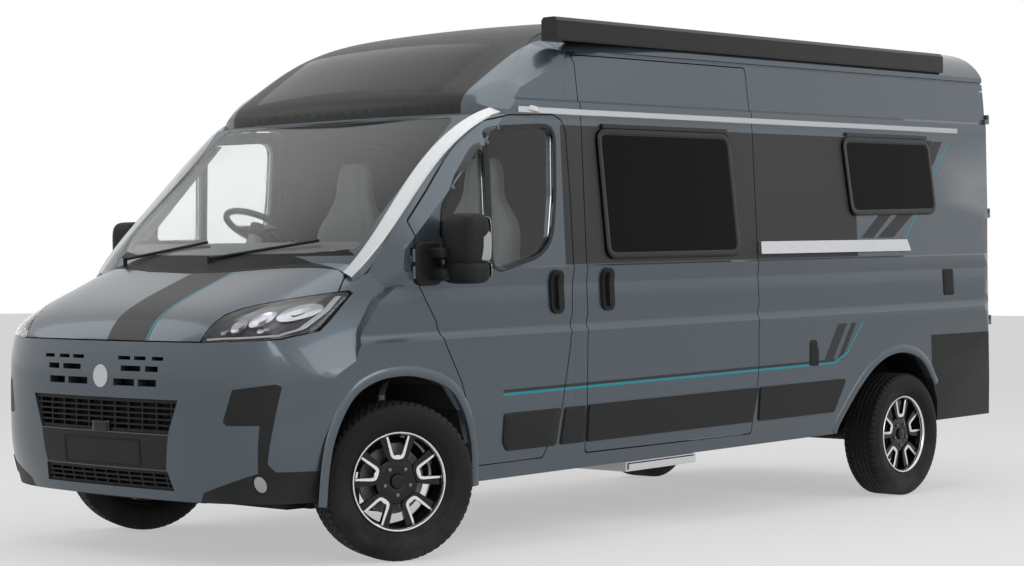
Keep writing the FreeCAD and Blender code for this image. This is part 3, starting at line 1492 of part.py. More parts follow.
def awning():
    """Make the awning's case above the left cant rail, fitted to the roof."""
    outside = half - 65.0
    top = crown - 66.0
    low = top - size("awning_height")
    line = [(outside - 6.0, low), (outside, low + 8.0), (outside, top - 18.0), (outside - 18.0, top)]
    line += [
        (outside - size("awning_width") + 14.0, top), (outside - size("awning_width"), top - 14.0),
        (outside - size("awning_width"), low)
    ]
    case = prism("y", line, pillar - 30.0, tail - 507.0)
    skin_node("awning", case.cut(roof_solid(-0.9).common(section_solid(-0.9))))


WIPER_FEET = [-620.0, 60.0]
WIPER_REACH = 560.0


def on_glass(x, above, off):
    """Return a point that stands a little ahead of the windscreen, at a height above its foot."""
    share = above / (screen_head - screen_foot)
    bow = SCREEN_ROWS[1][1] * (abs(x) / 850.0) ** 2.4
    return Vector(x, screen_foot_y + share * size("screen_run") + bow - off, screen_foot + above)


def wipers():
    """Make the two wiper arms that lie low on the glass, on spindles that stand in the cowl."""
    arms = []
    for x in WIPER_FEET:
        foot = on_glass(x, -12.0, 12.0)
        tip = on_glass(x + WIPER_REACH, 62.0, 14.0)
        arm = rod(7, foot, tip).fuse(rod(10, foot - AXIS_Z * 60, foot + AXIS_Z * 8))
        arms.append(arm.cut(outer).cut(screen_solid(-1.0)))
    skin_node("wipers", Part.makeCompound(arms))


def upright_edges(shape):
    """List a shape's straight edges that stand upright."""
    lines = [edge for edge in shape.Edges if isinstance(edge.Curve, Part.Line)]
    return [edge for edge in lines if abs(edge.tangentAt(edge.FirstParameter).z) > 0.99]


def mirrors():
    """Make the door mirrors: a foot on the door, an arm and a tall head."""
    foot = box(half - 35, half + 15, front + 61, front + 201, belt - 42, belt + 153)
    arm = box(half - 25, half + 105, front + 91, front + 191, belt + 23, belt + 73)
    head = box(half + 60, half + 225, front + 151, front + 291, belt - 67, belt + 263)
    head = head.makeFillet(34.0, upright_edges(head))
    head = head.makeFillet(16.0, [edge for edge in head.Edges if edge not in upright_edges(head)])
    left = foot.multiFuse([arm, head]).cut(outer)
    for side, sign in SIDES:
        skin_node(f"mirror_{side}", placed(left, sign))


awning()
wipers()
mirrors()


def entrance_step():
    """Make the sliding step's case under the sill and the tread that draws out of it."""
    y = (f"{PILLAR} + 380", f"{PILLAR} + 380 + step_width")
    top = "(sill_height - fit)"
    low = f"({top} - step_case)"
    case = block("step_case_block", ("rail_half + 20", "body_half - 20"), y, (low, top))
    room_y = (f"{PILLAR} + 380 + 12", f"{PILLAR} + 368 + step_width")
    middle = f"({low} + step_case / 2)"
    room = block(
        "step_room", ("rail_half + 50", "body_half + 60"), room_y,
        (f"{middle} - step_thickness / 2 - fit", f"{middle} + step_thickness / 2 + running")
    )
    hanger = block(
        "step_hanger", ("rail_half + 21", "rail_half + 60"), y, (f"{top} - 1", f"{RAIL_LOW} - fit")
    )
    on_body("step_housing", joined("step_housing_all", [less("step_shell", case, room), hanger]))
    tread_y = (f"{PILLAR} + 392 + running", f"{PILLAR} + 368 + step_width - running")
    tread = block(
        "tread", ("rail_half + 90", "body_half - 12"), tread_y,
        (f"{middle} - step_thickness / 2", f"{middle} + step_thickness / 2")
    )
    on_body("step_tread", gathered("tread_all", [tread]))


entrance_step()

doc.recompute()
FAULTS = [o.Name for o in doc.Objects if "Invalid" in o.State or "Error" in o.State]
FAULTS += [n.Label for n in NODES if n.Shape.isNull() or not n.Shape.isValid() or not n.Shape.Solids]
if FAULTS:
    raise RuntimeError(f"not built: {FAULTS}")
for piece in NODES:
    piece.Shape.exportStep(f"parts/{piece.Label}.step")
print("nodes", len(NODES))
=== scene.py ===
import logging
import math
from dataclasses import dataclass, field
from enum import Enum

import bmesh
import bpy
import numpy as np
from mathutils import Matrix


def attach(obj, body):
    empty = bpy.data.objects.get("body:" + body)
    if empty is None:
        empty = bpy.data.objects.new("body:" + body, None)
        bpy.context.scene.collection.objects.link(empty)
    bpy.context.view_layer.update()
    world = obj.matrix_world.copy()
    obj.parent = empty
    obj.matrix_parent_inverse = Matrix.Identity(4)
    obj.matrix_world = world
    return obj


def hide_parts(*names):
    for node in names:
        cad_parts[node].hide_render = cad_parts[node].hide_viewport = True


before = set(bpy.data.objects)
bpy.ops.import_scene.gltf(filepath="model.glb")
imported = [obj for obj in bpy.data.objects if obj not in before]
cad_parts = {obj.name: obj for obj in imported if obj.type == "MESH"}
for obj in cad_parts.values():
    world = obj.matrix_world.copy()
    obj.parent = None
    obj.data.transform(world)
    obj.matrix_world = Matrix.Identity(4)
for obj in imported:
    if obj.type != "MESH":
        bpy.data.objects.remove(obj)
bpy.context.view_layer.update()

log = logging.getLogger("camper")

MM = 0.001
RAKE = math.radians(1.37)
FRONT_AXLE = -2051.0
REAR_AXLE = 1984.0
HUB_HEIGHT = 350.0
STEERED = math.radians(-24.0)
KINGPIN = 840.0
KINGPIN_INSET = 65.0
REAR_HALF_TRACK = 895.0

Points = np.ndarray
Table = tuple[tuple[float, ...], ...]
Dress = tuple[bpy.types.Material, str, str, float]
Socket = bpy.types.NodeSocket


class Side(Enum):
    """A side of the vehicle, by the sign of its x."""

    LEFT = 1
    RIGHT = -1

    @property
    def word(self) -> str:
        """The side's name in node names."""
        return self.name.lower()


class Ring(Enum):
    """Whether a surface grid closes on itself along a direction."""

    OPEN = False
    CLOSED = True


# the level body frame


def to_world(points: Points) -> Points:
    """Turn level body points into the frame that the vehicle stands in.

    The body turns about the front hubs' line by the rake, and millimetres become metres.

    Args:
        points: Level points in millimetres, with x, y and z in the last column.

    Returns:
        The same points in metres, standing.
    """
    y = points[..., 1] - FRONT_AXLE
    z = points[..., 2] - HUB_HEIGHT
    c, s = math.cos(RAKE), math.sin(RAKE)
    return np.stack([points[..., 0], FRONT_AXLE + c * y - s * z, HUB_HEIGHT + s * y + c * z], -1) * MM


def to_level(points: Points) -> Points:
    """Turn standing points in metres back into level body points in millimetres.

    Args:
        points: Standing points in metres.

    Returns:
        Level points in millimetres.
    """
    y = points[..., 1] / MM - FRONT_AXLE
    z = points[..., 2] / MM - HUB_HEIGHT
    c, s = math.cos(RAKE), math.sin(RAKE)
    return np.stack([points[..., 0] / MM, FRONT_AXLE + c * y + s * z, HUB_HEIGHT - s * y + c * z], -1)


def round_corners(corners: Table, radius: float, steps: int = 6) -> Points:
    """Round a polygon's corners with quadratic curves and return the closed outline.

    Each corner p becomes (1-t)^2 a + 2t(1-t) p + t^2 b, with a and b on its two sides at the radius' reach.

    Args:
        corners: The polygon's corners in order.
        radius: How far from each corner the curve starts.
        steps: Points on each rounded corner.

    Returns:
        An array of outline points, (n, 2).
    """
    p = np.array(corners, float)
    before = np.roll(p, 1, 0) - p
    after = np.roll(p, -1, 0) - p
    reach_a = np.minimum(radius, np.linalg.norm(before, axis=1) * 0.45)[:, None]
    reach_b = np.minimum(radius, np.linalg.norm(after, axis=1) * 0.45)[:, None]
    a = p + before / np.linalg.norm(before, axis=1, keepdims=True) * reach_a
    b = p + after / np.linalg.norm(after, axis=1, keepdims=True) * reach_b
    t = np.linspace(0, 1, steps)[None, :, None]
    return ((1 - t) ** 2 * a[:, None] + 2 * t * (1 - t) * p[:, None] + t**2 * b[:, None]).reshape(-1, 2)


def rounded(corners: Table, radius: float, count: int) -> Points:
    """Return a polygon's closed outline with rounded corners, as evenly spread points."""
    return resample(round_corners(corners, radius), count, True)


def resample(path: Points, count: int, closed: bool = False) -> Points:
    """Spread points evenly along a path by its arc length.

    Args:
        path: The path's points, (n, d).
        count: Number of points wanted.
        closed: Whether the last point joins the first.

    Returns:
        The evenly spread points, (count, d).
    """
    line = np.vstack([path, path[:1]]) if closed else path
    length = np.concatenate([[0.0], np.cumsum(np.linalg.norm(np.diff(line, axis=0), axis=1))])
    at = np.linspace(0, length[-1], count + 1)[:-1] if closed else np.linspace(0, length[-1], count)
    return np.stack([np.interp(at, length, line[:, k]) for k in range(line.shape[1])], 1)


def squared_ball(power: float, steps: tuple[int, int]) -> Points:
    """Return a ball squared towards a box: each coordinate is sign(c) |c|^(2/power), (round, up, 3).

    Args:
        power: How square it is; 2 is a plain ball.
        steps: Points round and up.

    Returns:
        The grid, (round, up, 3).
    """
    around = np.linspace(0, 2 * math.pi, steps[0], endpoint=False)[:, None]
    up = np.linspace(-math.pi / 2, math.pi / 2, steps[1])[None, :]
    ball = np.stack([np.cos(up) * np.cos(around), np.cos(up) * np.sin(around), np.sin(up) + 0 * around], -1)
    return np.sign(ball) * np.abs(ball) ** (2.0 / power)


def inward(outline: Points) -> Points:
    """Return a closed outline's unit normals that point to its inside.

    Args:
        outline: The closed outline, (n, 2).

    Returns:
        Unit normals, (n, 2).
    """
    along = np.roll(outline, -1, 0) - np.roll(outline, 1, 0)
    normal = np.stack([-along[:, 1], along[:, 0]], 1)
    normal /= np.maximum(np.linalg.norm(normal, axis=1, keepdims=True), 1e-9)
    area = np.sum(outline[:, 0] * np.roll(outline[:, 1], -1) - outline[:, 1] * np.roll(outline[:, 0], -1))
    return normal * np.sign(area)


# meshes


def grid_faces(rows: int, columns: int, around: Ring, across: Ring) -> Points:
    """List the quads that join a grid's neighbours.

    Args:
        rows: Number of rows of the grid.
        columns: Number of columns.
        around: Whether the last row joins the first.
        across: Whether the last column joins the first.

    Returns:
        The quads' vertex numbers, (faces, 4).
    """
    i = np.arange(rows if around.value else rows - 1)
    j = np.arange(columns if across.value else columns - 1)
    i, j = (a.ravel() for a in np.meshgrid(i, j, indexing="ij"))
    up, right = (i + 1) % rows, (j + 1) % columns
    return np.stack([i * columns + j, up * columns + j, up * columns + right, i * columns + right], 1)


def stand_object(name: str, data: bpy.types.ID) -> bpy.types.Object:
    """Make an object of some data and link it to the scene.

    Args:
        name: The object's name.
        data: Its mesh, camera or lamp.

    Returns:
        The new object.
    """
    made = bpy.data.objects.new(name, data)
    bpy.context.scene.collection.objects.link(made)
    return made


@dataclass
class Shell:
    """Vertices and faces gathered into one piece."""

    points: list[Points] = field(default_factory=list)
    faces: list[list[int]] = field(default_factory=list)
    count: int = 0

    def add(
        self, grid: Points, around: Ring = Ring.OPEN, across: Ring = Ring.OPEN, flip: bool = False
    ) -> "Shell":
        """Add a surface grid.

        Args:
            grid: Points on a grid, (rows, columns, 3).
            around: Whether the rows close.
            across: Whether the columns close.
            flip: Whether the faces turn the other way.

        Returns:
            This shell, so that calls chain.
        """
        rows, columns = grid.shape[:2]
        faces = grid_faces(rows, columns, around, across) + self.count
        if flip:
            faces = faces[:, ::-1]
        self.points.append(grid.reshape(-1, 3))
        self.faces.extend(faces.tolist())
        self.count += rows * columns
        return self

    def cap(self, ring: Points, flip: bool = False) -> "Shell":
        """Close a ring of points with one face.

        Args:
            ring: The ring's points, (n, 3).
            flip: Whether the face turns the other way.

        Returns:
            This shell, so that calls chain.
        """
        order = list(range(self.count, self.count + len(ring)))
        self.points.append(ring)
        self.faces.append(order[::-1] if flip else order)
        self.count += len(ring)
        return self

    def tube(self, sections: Points, flip: bool = False) -> "Shell":
        """Add closed sections carried along a path, with both ends closed.

        Args:
            sections: Section rings along the path, (stations, ring, 3).
            flip: Whether the faces turn the other way.

        Returns:
            This shell, so that calls chain.
        """
        self.add(sections, Ring.OPEN, Ring.CLOSED, flip)
        return self.cap(sections[0], not flip).cap(sections[-1], flip)

    def build(
        self, name: str, finish: bpy.types.Material, body: str, slot: str, sharp: float = 35.0
    ) -> bpy.types.Object:
        """Make the piece's object, merge its doubles and turn its faces outwards.

        Args:
            name: The piece's name.
            finish: Its material.
            body: The body that it rides on.
            slot: The record's slot of its finish; not used.
            sharp: Angle in degrees past which an edge stays sharp.

        Returns:
            The new object.
        """
        mesh = bpy.data.meshes.new(name)
        mesh.from_pydata(np.vstack(self.points).tolist(), [], self.faces)
        work = bmesh.new()
        work.from_mesh(mesh)
        bmesh.ops.remove_doubles(work, verts=work.verts, dist=2e-6)
        bmesh.ops.recalc_face_normals(work, faces=work.faces)
        work.to_mesh(mesh)
        work.free()
        mesh.shade_smooth()
        mesh.set_sharp_from_angle(angle=math.radians(sharp))
        mesh.materials.append(finish)
        piece = stand_object(name, mesh)
        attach(piece, body)
        log.info("%s: %d faces on %s", name, len(mesh.polygons), body)
        return piece


class View(Enum):
    """A direction along which points are dropped on the skin: its axis, sign and the two plan axes."""

    LEFT_SIDE = (0, 1.0, 1, 2)
    RIGHT_SIDE = (0, -1.0, 1, 2)
    NOSE = (1, -1.0, 0, 2)
    TOP = (2, 1.0, 0, 1)


class Skin:
    """The CAD skin's triangles in the level frame, on which plan points are dropped."""

    def __init__(self, *nodes: str) -> None:
        """Gather the triangles of some CAD nodes."""
        self.triangles = np.concatenate([self.node_triangles(node) for node in nodes])

    @staticmethod
    def node_triangles(node: str) -> Points:
        """Return one CAD node's triangles in level millimetres, (n, 3, 3).

        Args:
            node: The CAD node's name.

        Returns:
            The triangles, (n, 3, 3).
        """
        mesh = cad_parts[node].data
        mesh.calc_loop_triangles()
        places = np.empty(len(mesh.vertices) * 3)
        mesh.vertices.foreach_get("co", places)
        corners = np.empty(len(mesh.loop_triangles) * 3, np.int32)
        mesh.loop_triangles.foreach_get("vertices", corners)
        return to_level(places.reshape(-1, 3)[corners].reshape(-1, 3, 3))

    def drop(self, plan: Points, view: View, lift: Points | float = 0.0) -> Points:
        """Drop plan points on the outermost skin and lift them off it.

        A point p is inside a triangle abc where its three edge products have one sign, and its depth is
        the corners' depths weighed by those products. A point that meets nothing takes the depth of the
        nearest one that does.

        Args:
            plan: Plan points in millimetres, (..., 2).
            view: The direction they are dropped along.
            lift: How far they stand off the skin towards the viewer.

        Returns:
            Level points in millimetres, (..., 3).
        """
        axis, sign, first, second = view.value
        flat = plan.reshape(-1, 2)
        low, high = flat.min(0) - 5.0, flat.max(0) + 5.0
        t = self.triangles
        plan_t = t[:, :, [first, second]]
        near = np.all(plan_t.max(1) >= low, 1) & np.all(plan_t.min(1) <= high, 1)
        plan_t, depth_t = plan_t[near], t[near][:, :, axis]
        depth = np.full(len(flat), -np.inf)
        for start in range(0, len(flat), 400):
            p = flat[start : start + 400, None, :]
            edges = [(plan_t[:, (k + 1) % 3] - plan_t[:, k], p - plan_t[:, k]) for k in range(3)]
            w = np.stack([e[:, 0] * d[..., 1] - e[:, 1] * d[..., 0] for e, d in edges], -1)
            total = w.sum(-1)
            inside = np.all(w * np.sign(total)[..., None] >= -1e-6, -1) & (np.abs(total) > 1e-6)
            weigh = np.where(np.abs(total) > 1e-6, total, 1.0)
            value = (
                w[..., 1] * depth_t[:, 0] + w[..., 2] * depth_t[:, 1] + w[..., 0] * depth_t[:, 2]
            ) / weigh
            depth[start : start + 400] = np.where(inside, value * sign, -np.inf).max(1, initial=-np.inf)
        found = np.isfinite(depth)
        if found.any() and not found.all():
            gap = np.linalg.norm(flat[~found][:, None] - flat[found][None], axis=-1)
            depth[~found] = depth[found][gap.argmin(1)]
        out = np.empty((len(flat), 3))
        out[:, first], out[:, second] = flat[:, 0], flat[:, 1]
        out[:, axis] = sign * (depth + np.broadcast_to(lift, plan.shape[:-1]).reshape(-1))
        return out.reshape(*plan.shape[:-1], 3)


@dataclass
class Relief:
    """Shallow forms that follow the skin: filled outlines, rings and strips."""

    skin: Skin
    view: View

    def fill(self, outline: Points, shares: list[float], lifts: list[float]) -> Points:
        """Fill an outline from its middle c outwards: p = c + share (o - c), lifted by each share's height.

        Args:
            outline: The closed outline, (n, 2).
            shares: Shares of the way from the middle to the outline.
            lifts: Height over the skin at each share.

        Returns:
            The grid in metres, (n, shares, 3), closed along the outline.
        """
        middle = outline.mean(0)
        plan = middle + np.array(shares)[None, :, None] * (outline - middle)[:, None]
        return to_world(self.skin.drop(plan, self.view, np.array(lifts)[None, :]))

    def ring(self, outline: Points, insets: list[float], lifts: list[float]) -> Points:
        """Carry a profile round an outline: p = o + inset * inward normal, lifted by each inset's height.

        Args:
            outline: The closed outline, (n, 2).
            insets: Distances inwards from the outline.
            lifts: Height over the skin at each inset.

        Returns:
            The grid in metres, (n, insets, 3), closed along the outline.
        """
        plan = outline[:, None] + np.array(insets)[None, :, None] * inward(outline)[:, None]
        return to_world(self.skin.drop(plan, self.view, np.array(lifts)[None, :]))

    def plate(self, name: str, outline: Points, profile: Table, dress: Dress) -> bpy.types.Object:
        """Build a filled outline as one piece.

        Args:
            name: The piece's name.
            outline: The closed outline, (n, 2).
            profile: Share of the way from the middle and height over the skin, from the middle outwards.
            dress: Its finish, body, slot and edge angle.

        Returns:
            The piece.
        """
        shares, lifts = zip(*profile)
        return Shell().add(self.fill(outline, shares, lifts), Ring.CLOSED).build(name, *dress)

    def strip(self, path: Points, width: float, height: float) -> Points:
        """Carry a low rounded section along an open path on the skin.

        Args:
            path: The strip's middle line, (n, 2).
            width: Its full width.
            height: Its height over the skin.

        Returns:
            Section rings in metres, (n, 6, 3).
        """
        along = np.gradient(path, axis=0)
        along /= np.linalg.norm(along, axis=1, keepdims=True)
        across = np.stack([-along[:, 1], along[:, 0]], 1)
        shares = np.array([-0.5, -0.42, 0.42, 0.5, 0.42, -0.42])
        lifts = np.array([0.3 * height, height, height, 0.3 * height, -1.0, -1.0])
        plan = path[:, None] + across[:, None] * (shares * width)[None, :, None]
        return to_world(self.skin.drop(plan, self.view, lifts[None, :]))


def smooth_copy(
    node: str, finish: bpy.types.Material, body: str, sharp: float = 24.0
) -> bpy.types.Object:
    """Stand a merged, smoothly shaded copy of a CAD node in its place.

    Args:
        node: The CAD node's name.
        finish: The copy's material.
        body: The body that it rides on.
        sharp: Angle in degrees past which an edge stays sharp.

    Returns:
        The copy.
    """
    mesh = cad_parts[node].data.copy()
    mesh.name = f"{node}_panel"
    mesh.materials.clear()
    mesh.materials.append(finish)
    work = bmesh.new()
    work.from_mesh(mesh)
    bmesh.ops.remove_doubles(work, verts=work.verts, dist=1e-5)
    bmesh.ops.dissolve_degenerate(work, edges=work.edges, dist=1e-6)
    work.to_mesh(mesh)
    work.free()
    for old in ("custom_normal", "sharp_face", "sharp_edge"):
        if old in mesh.attributes:
            mesh.attributes.remove(mesh.attributes[old])
    mesh.shade_smooth()
    mesh.set_sharp_from_angle(angle=math.radians(sharp))
    piece = stand_object(f"{node}_panel", mesh)
    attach(piece, body)
    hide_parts(node)
    log.info("%s: smooth copy with %d faces", node, len(mesh.polygons))
    return piece


# shader groups


class Group:
    """A shader node group with named inputs and outputs, built once and placed where it is used."""

    made: dict[str, "Group"] = {}

    def __init__(self, name: str, inputs: dict[str, float | str], outputs: dict[str, str]) -> None:
        """Open an empty group.

        Args:
            name: The group's name.
            inputs: Default value of each number input, or "vector" for a vector.
            outputs: "value", "color" or "vector" for each output.
        """
        kinds = {"value": "NodeSocketFloat", "color": "NodeSocketColor", "vector": "NodeSocketVector"}
        self.tree = bpy.data.node_groups.new(name, "ShaderNodeTree")
        for label, start in inputs.items():
            kind = kinds["vector"] if start == "vector" else kinds["value"]
            socket = self.tree.interface.new_socket(label, in_out="INPUT", socket_type=kind)
            if start != "vector":
                socket.default_value = start
        for label, kind in outputs.items():
            self.tree.interface.new_socket(label, in_out="OUTPUT", socket_type=kinds[kind])
        self.inputs = self.tree.nodes.new("NodeGroupInput").outputs
        self.outputs = self.tree.nodes.new("NodeGroupOutput").inputs
        self.wiring = Wiring(self.tree)
        Group.made[name] = self


@dataclass
class Wiring:
    """Shorthand for adding nodes to a tree and joining them."""

    tree: bpy.types.NodeTree

    def feed(self, socket: Socket, value: "Socket | float | tuple") -> None:
        """Link a socket to another, or set its own value."""
        if isinstance(value, bpy.types.NodeSocket):
            self.tree.links.new(value, socket)
        else:
            socket.default_value = value

    def node(self, kind: str, inputs: dict, **settings) -> bpy.types.Node:
        """Add a node.

        Args:
            kind: The node's type.
            inputs: Values or links by socket name or number.
            settings: The node's own settings.

        Returns:
            The new node.
        """
        made = self.tree.nodes.new(kind)
        for key, value in settings.items():
            setattr(made, key, value)
        for key, value in inputs.items():
            self.feed(made.inputs[key], value)
        return made

    def math(self, operation: str, *values: "Socket | float", clamp: bool = False) -> Socket:
        """Add a math node and return its result."""
        made = self.node("ShaderNodeMath", dict(enumerate(values)), operation=operation, use_clamp=clamp)
        return made.outputs[0]

    def ramp(self, value: Socket, low: float, high: float, start: float = 0.0, end: float = 1.0) -> Socket:
        """Map a value between two limits, smoothly and clamped."""
        inputs = {"Value": value, "From Min": low, "From Max": high, "To Min": start, "To Max": end}
        return self.node("ShaderNodeMapRange", inputs, interpolation_type="SMOOTHSTEP").outputs["Result"]

    def blend(self, share: "Socket | float", first: "Socket | tuple", second: "Socket | tuple") -> Socket:
        """Mix two colours and return the result.

        Args:
            share: Share of the second colour.
            first: The first colour.
            second: The second colour.

        Returns:
            The mixed colour.
        """
        made = self.node("ShaderNodeMix", {}, data_type="RGBA")
        self.feed(made.inputs[0], share)
        self.feed(made.inputs[6], first)
        self.feed(made.inputs[7], second)
        return made.outputs[2]

    def mix_value(
        self, share: "Socket | float", first: "Socket | float", second: "Socket | float"
    ) -> Socket:
        """Mix two numbers and return the result."""
        return self.math(
            "ADD", self.math("MULTIPLY", share, second),
            self.math("MULTIPLY", self.math("SUBTRACT", 1.0, share), first)
        )

    def noise(self, vector: Socket, scale: float, detail: float = 2.0, roughness: float = 0.5) -> Socket:
        """Add a noise texture and return its value."""
        inputs = {"Vector": vector, "Scale": scale, "Detail": detail, "Roughness": roughness}
        return self.node("ShaderNodeTexNoise", inputs).outputs[0]

    def place(self, group: Group, inputs: dict) -> bpy.types.Node:
        """Place a group in this tree.

        Args:
            group: The group.
            inputs: Values or links by input name.

        Returns:
            The placed node.
        """
        made = self.tree.nodes.new("ShaderNodeGroup")
        made.node_tree = group.tree
        for key, value in inputs.items():
            self.feed(made.inputs[key], value)
        return made


def level_group() -> Group:
    """Build the group that turns Object coordinates into level body millimetres: |x|, y and z.

    Returns:
        The group.
    """
    group = Group("level_body", {"Place": "vector"}, {"X": "value", "Y": "value", "Z": "value"})
    w = group.wiring
    pivot = (0.0, FRONT_AXLE * MM, HUB_HEIGHT * MM)
    turned = w.node(
        "ShaderNodeVectorRotate", {"Vector": group.inputs["Place"], "Center": pivot, "Angle": -RAKE},
        rotation_type="X_AXIS"
    )
    parts = w.node("ShaderNodeSeparateXYZ", {0: turned.outputs[0]}).outputs
    for label, part in zip("XYZ", parts):
        value = w.math("MULTIPLY", part, 1000.0)
        w.feed(group.outputs[label], w.math("ABSOLUTE", value) if label == "X" else value)
    return group


def band_group() -> Group:
    """Build the group that masks a straight band.

    Its middle line runs from one value across to another as the place along goes from start to end, and
    the mask is 1 where the place across is within half a width of that line.

    Returns:
        The group.
    """
    inputs = {
        "Along": 0.0, "Across": 0.0, "Start": 0.0, "End": 1.0, "From": 0.0, "To": 0.0, "Half width": 4.0
    }
    group = Group("band", inputs, {"Mask": "value"})
    w, i = group.wiring, group.inputs
    line = w.node(
        "ShaderNodeMapRange",
        {
            "Value": i["Along"], "From Min": i["Start"], "From Max": i["End"], "To Min": i["From"],
            "To Max": i["To"]
        }
    )
    off = w.math("ABSOLUTE", w.math("SUBTRACT", i["Across"], line.outputs["Result"]))
    within = w.math("LESS_THAN", off, i["Half width"])
    ends = w.math(
        "MULTIPLY", w.math("GREATER_THAN", i["Along"], i["Start"]),
        w.math("LESS_THAN", i["Along"], i["End"])
    )
    w.feed(group.outputs["Mask"], w.math("MULTIPLY", within, ends))
    return group


def grain_group() -> Group:
    """Build the group for moulded grain: fine cells over soft mottling, as a height and a mask.

    Returns:
        The group.
    """
    group = Group("grain", {"Place": "vector", "Scale": 900.0}, {"Height": "value", "Mottle": "value"})
    w, i = group.wiring, group.inputs
    cells = w.node("ShaderNodeTexVoronoi", {"Vector": i["Place"], "Scale": i["Scale"]}).outputs["Distance"]
    fine = w.noise(i["Place"], 500.0, 3.0)
    w.feed(group.outputs["Height"], w.math("ADD", cells, w.math("MULTIPLY", fine, 0.6)))
    w.feed(group.outputs["Mottle"], w.noise(i["Place"], 9.0, 4.0, 0.6))
    return group


def dust_group() -> Group:
    """Build the group for road dust: a mask that thins out with height over the ground.

    Returns:
        The group.
    """
    group = Group("road_dust", {"Place": "vector", "Reach": 0.55}, {"Mask": "value"})
    w, i = group.wiring, group.inputs
    z = w.node("ShaderNodeSeparateXYZ", {0: i["Place"]}).outputs[2]
    fall = w.math("SUBTRACT", 1.0, w.math("DIVIDE", z, i["Reach"]), clamp=True)
    cloud = w.ramp(w.noise(i["Place"], 7.0, 5.0, 0.65), 0.35, 0.75)
    w.feed(group.outputs["Mask"], w.math("MULTIPLY", w.math("MULTIPLY", fall, fall), cloud))
    return group


def weave_group() -> Group:
    """Build the group for woven cloth: two crossed waves as a height, and their slubs as a mask.

    Returns:
        The group.
    """
    group = Group("weave", {"Place": "vector", "Threads": 700.0}, {"Height": "value", "Slub": "value"})
    w, i = group.wiring, group.inputs
    x, y, z = w.node("ShaderNodeSeparateXYZ", {0: i["Place"]}).outputs
    warp = w.math("SINE", w.math("MULTIPLY", w.math("ADD", x, y), i["Threads"]))
    weft = w.math("SINE", w.math("MULTIPLY", w.math("ADD", z, y), i["Threads"]))
    w.feed(group.outputs["Height"], w.math("ADD", warp, weft))
    w.feed(group.outputs["Slub"], w.noise(i["Place"], 160.0, 3.0))
    return group


LEVEL, BAND, GRAIN, DUST, WEAVE = level_group(), band_group(), grain_group(), dust_group(), weave_group()

# finishes

DUST_COLOUR = (0.20, 0.185, 0.165, 1.0)


@dataclass(frozen=True)
class Finish:
    """The start of every finish: a Principled surface on Object coordinates."""

    name: str

    def start(self) -> tuple[bpy.types.Material, Wiring, bpy.types.Node, Socket]:
        """Make the material with its surface and Object coordinates.

        Returns:
            The material, its wiring, the Principled node and the Object coordinate socket.
        """
        material = bpy.data.materials.new(self.name)
        material.use_nodes = True
        w = Wiring(material.node_tree)
        place = w.node("ShaderNodeTexCoord", {}).outputs["Object"]
        return material, w, material.node_tree.nodes["Principled BSDF"], place

    def bump(
        self, w: Wiring, surface: bpy.types.Node, height: Socket, strength: float, distance: float
    ) -> None:
        """Feed a height through a Bump node to the surface's normal."""
        made = w.node("ShaderNodeBump", {"Strength": strength, "Distance": distance, "Height": height})
        w.feed(surface.inputs["Normal"], made.outputs[0])


@dataclass(frozen=True)
class Moulded(Finish):
    """Moulded plastic or rubber with grain, mottling and a little road dust."""

    colour: tuple[float, float, float, float]
    roughness: float = 0.55
    grain: float = 0.25
    scale: float = 900.0
    dust: float = 0.35
    coat: float = 0.0
    shine: float = 0.2

    def build(self) -> bpy.types.Material:
        """Build the material: mottled colour, dust low down, grain in the normal.

        Returns:
            The material.
        """
        material, w, surface, place = self.start()
        grain = w.place(GRAIN, {"Place": place, "Scale": self.scale}).outputs
        dust = w.place(DUST, {"Place": place}).outputs["Mask"]
        darker = tuple(c * 0.78 for c in self.colour[:3]) + (1.0,)
        mottled = w.blend(grain["Mottle"], darker, self.colour)
        w.feed(
            surface.inputs["Base Color"], w.blend(w.math("MULTIPLY", dust, self.dust), mottled, DUST_COLOUR)
        )
        w.feed(
            surface.inputs["Roughness"],
            w.mix_value(grain["Mottle"], self.roughness - 0.06, self.roughness + 0.06)
        )
        surface.inputs["Specular IOR Level"].default_value = self.shine
        surface.inputs["Coat Weight"].default_value = self.coat
        surface.inputs["Coat Roughness"].default_value = 0.06
        self.bump(w, surface, grain["Height"], self.grain, 0.0004)
        return material


@dataclass(frozen=True)
class Metal(Finish):
    """Bare or machined metal with fine turning or brushing lines."""

    colour: tuple[float, float, float, float]
    roughness: float = 0.28
    lines: float = 260.0
    dust: float = 0.2

    def build(self) -> bpy.types.Material:
        """Build the material: brushed height, mottled roughness and dust.

        Returns:
            The material.
        """
        material, w, surface, place = self.start()
        stretched = w.node("ShaderNodeMapping", {"Vector": place, "Scale": (1.0, 0.12, 1.0)}).outputs[0]
        brushed = w.noise(stretched, self.lines, 3.0)
        dust = w.place(DUST, {"Place": place}).outputs["Mask"]
        w.feed(
            surface.inputs["Base Color"],
            w.blend(w.math("MULTIPLY", dust, self.dust), self.colour, DUST_COLOUR)
        )
        w.feed(
            surface.inputs["Roughness"],
            w.ramp(brushed, 0.3, 0.7, self.roughness - 0.06, self.roughness + 0.1)
        )
        surface.inputs["Metallic"].default_value = 1.0
        self.bump(w, surface, brushed, 0.12, 0.0003)
        return material


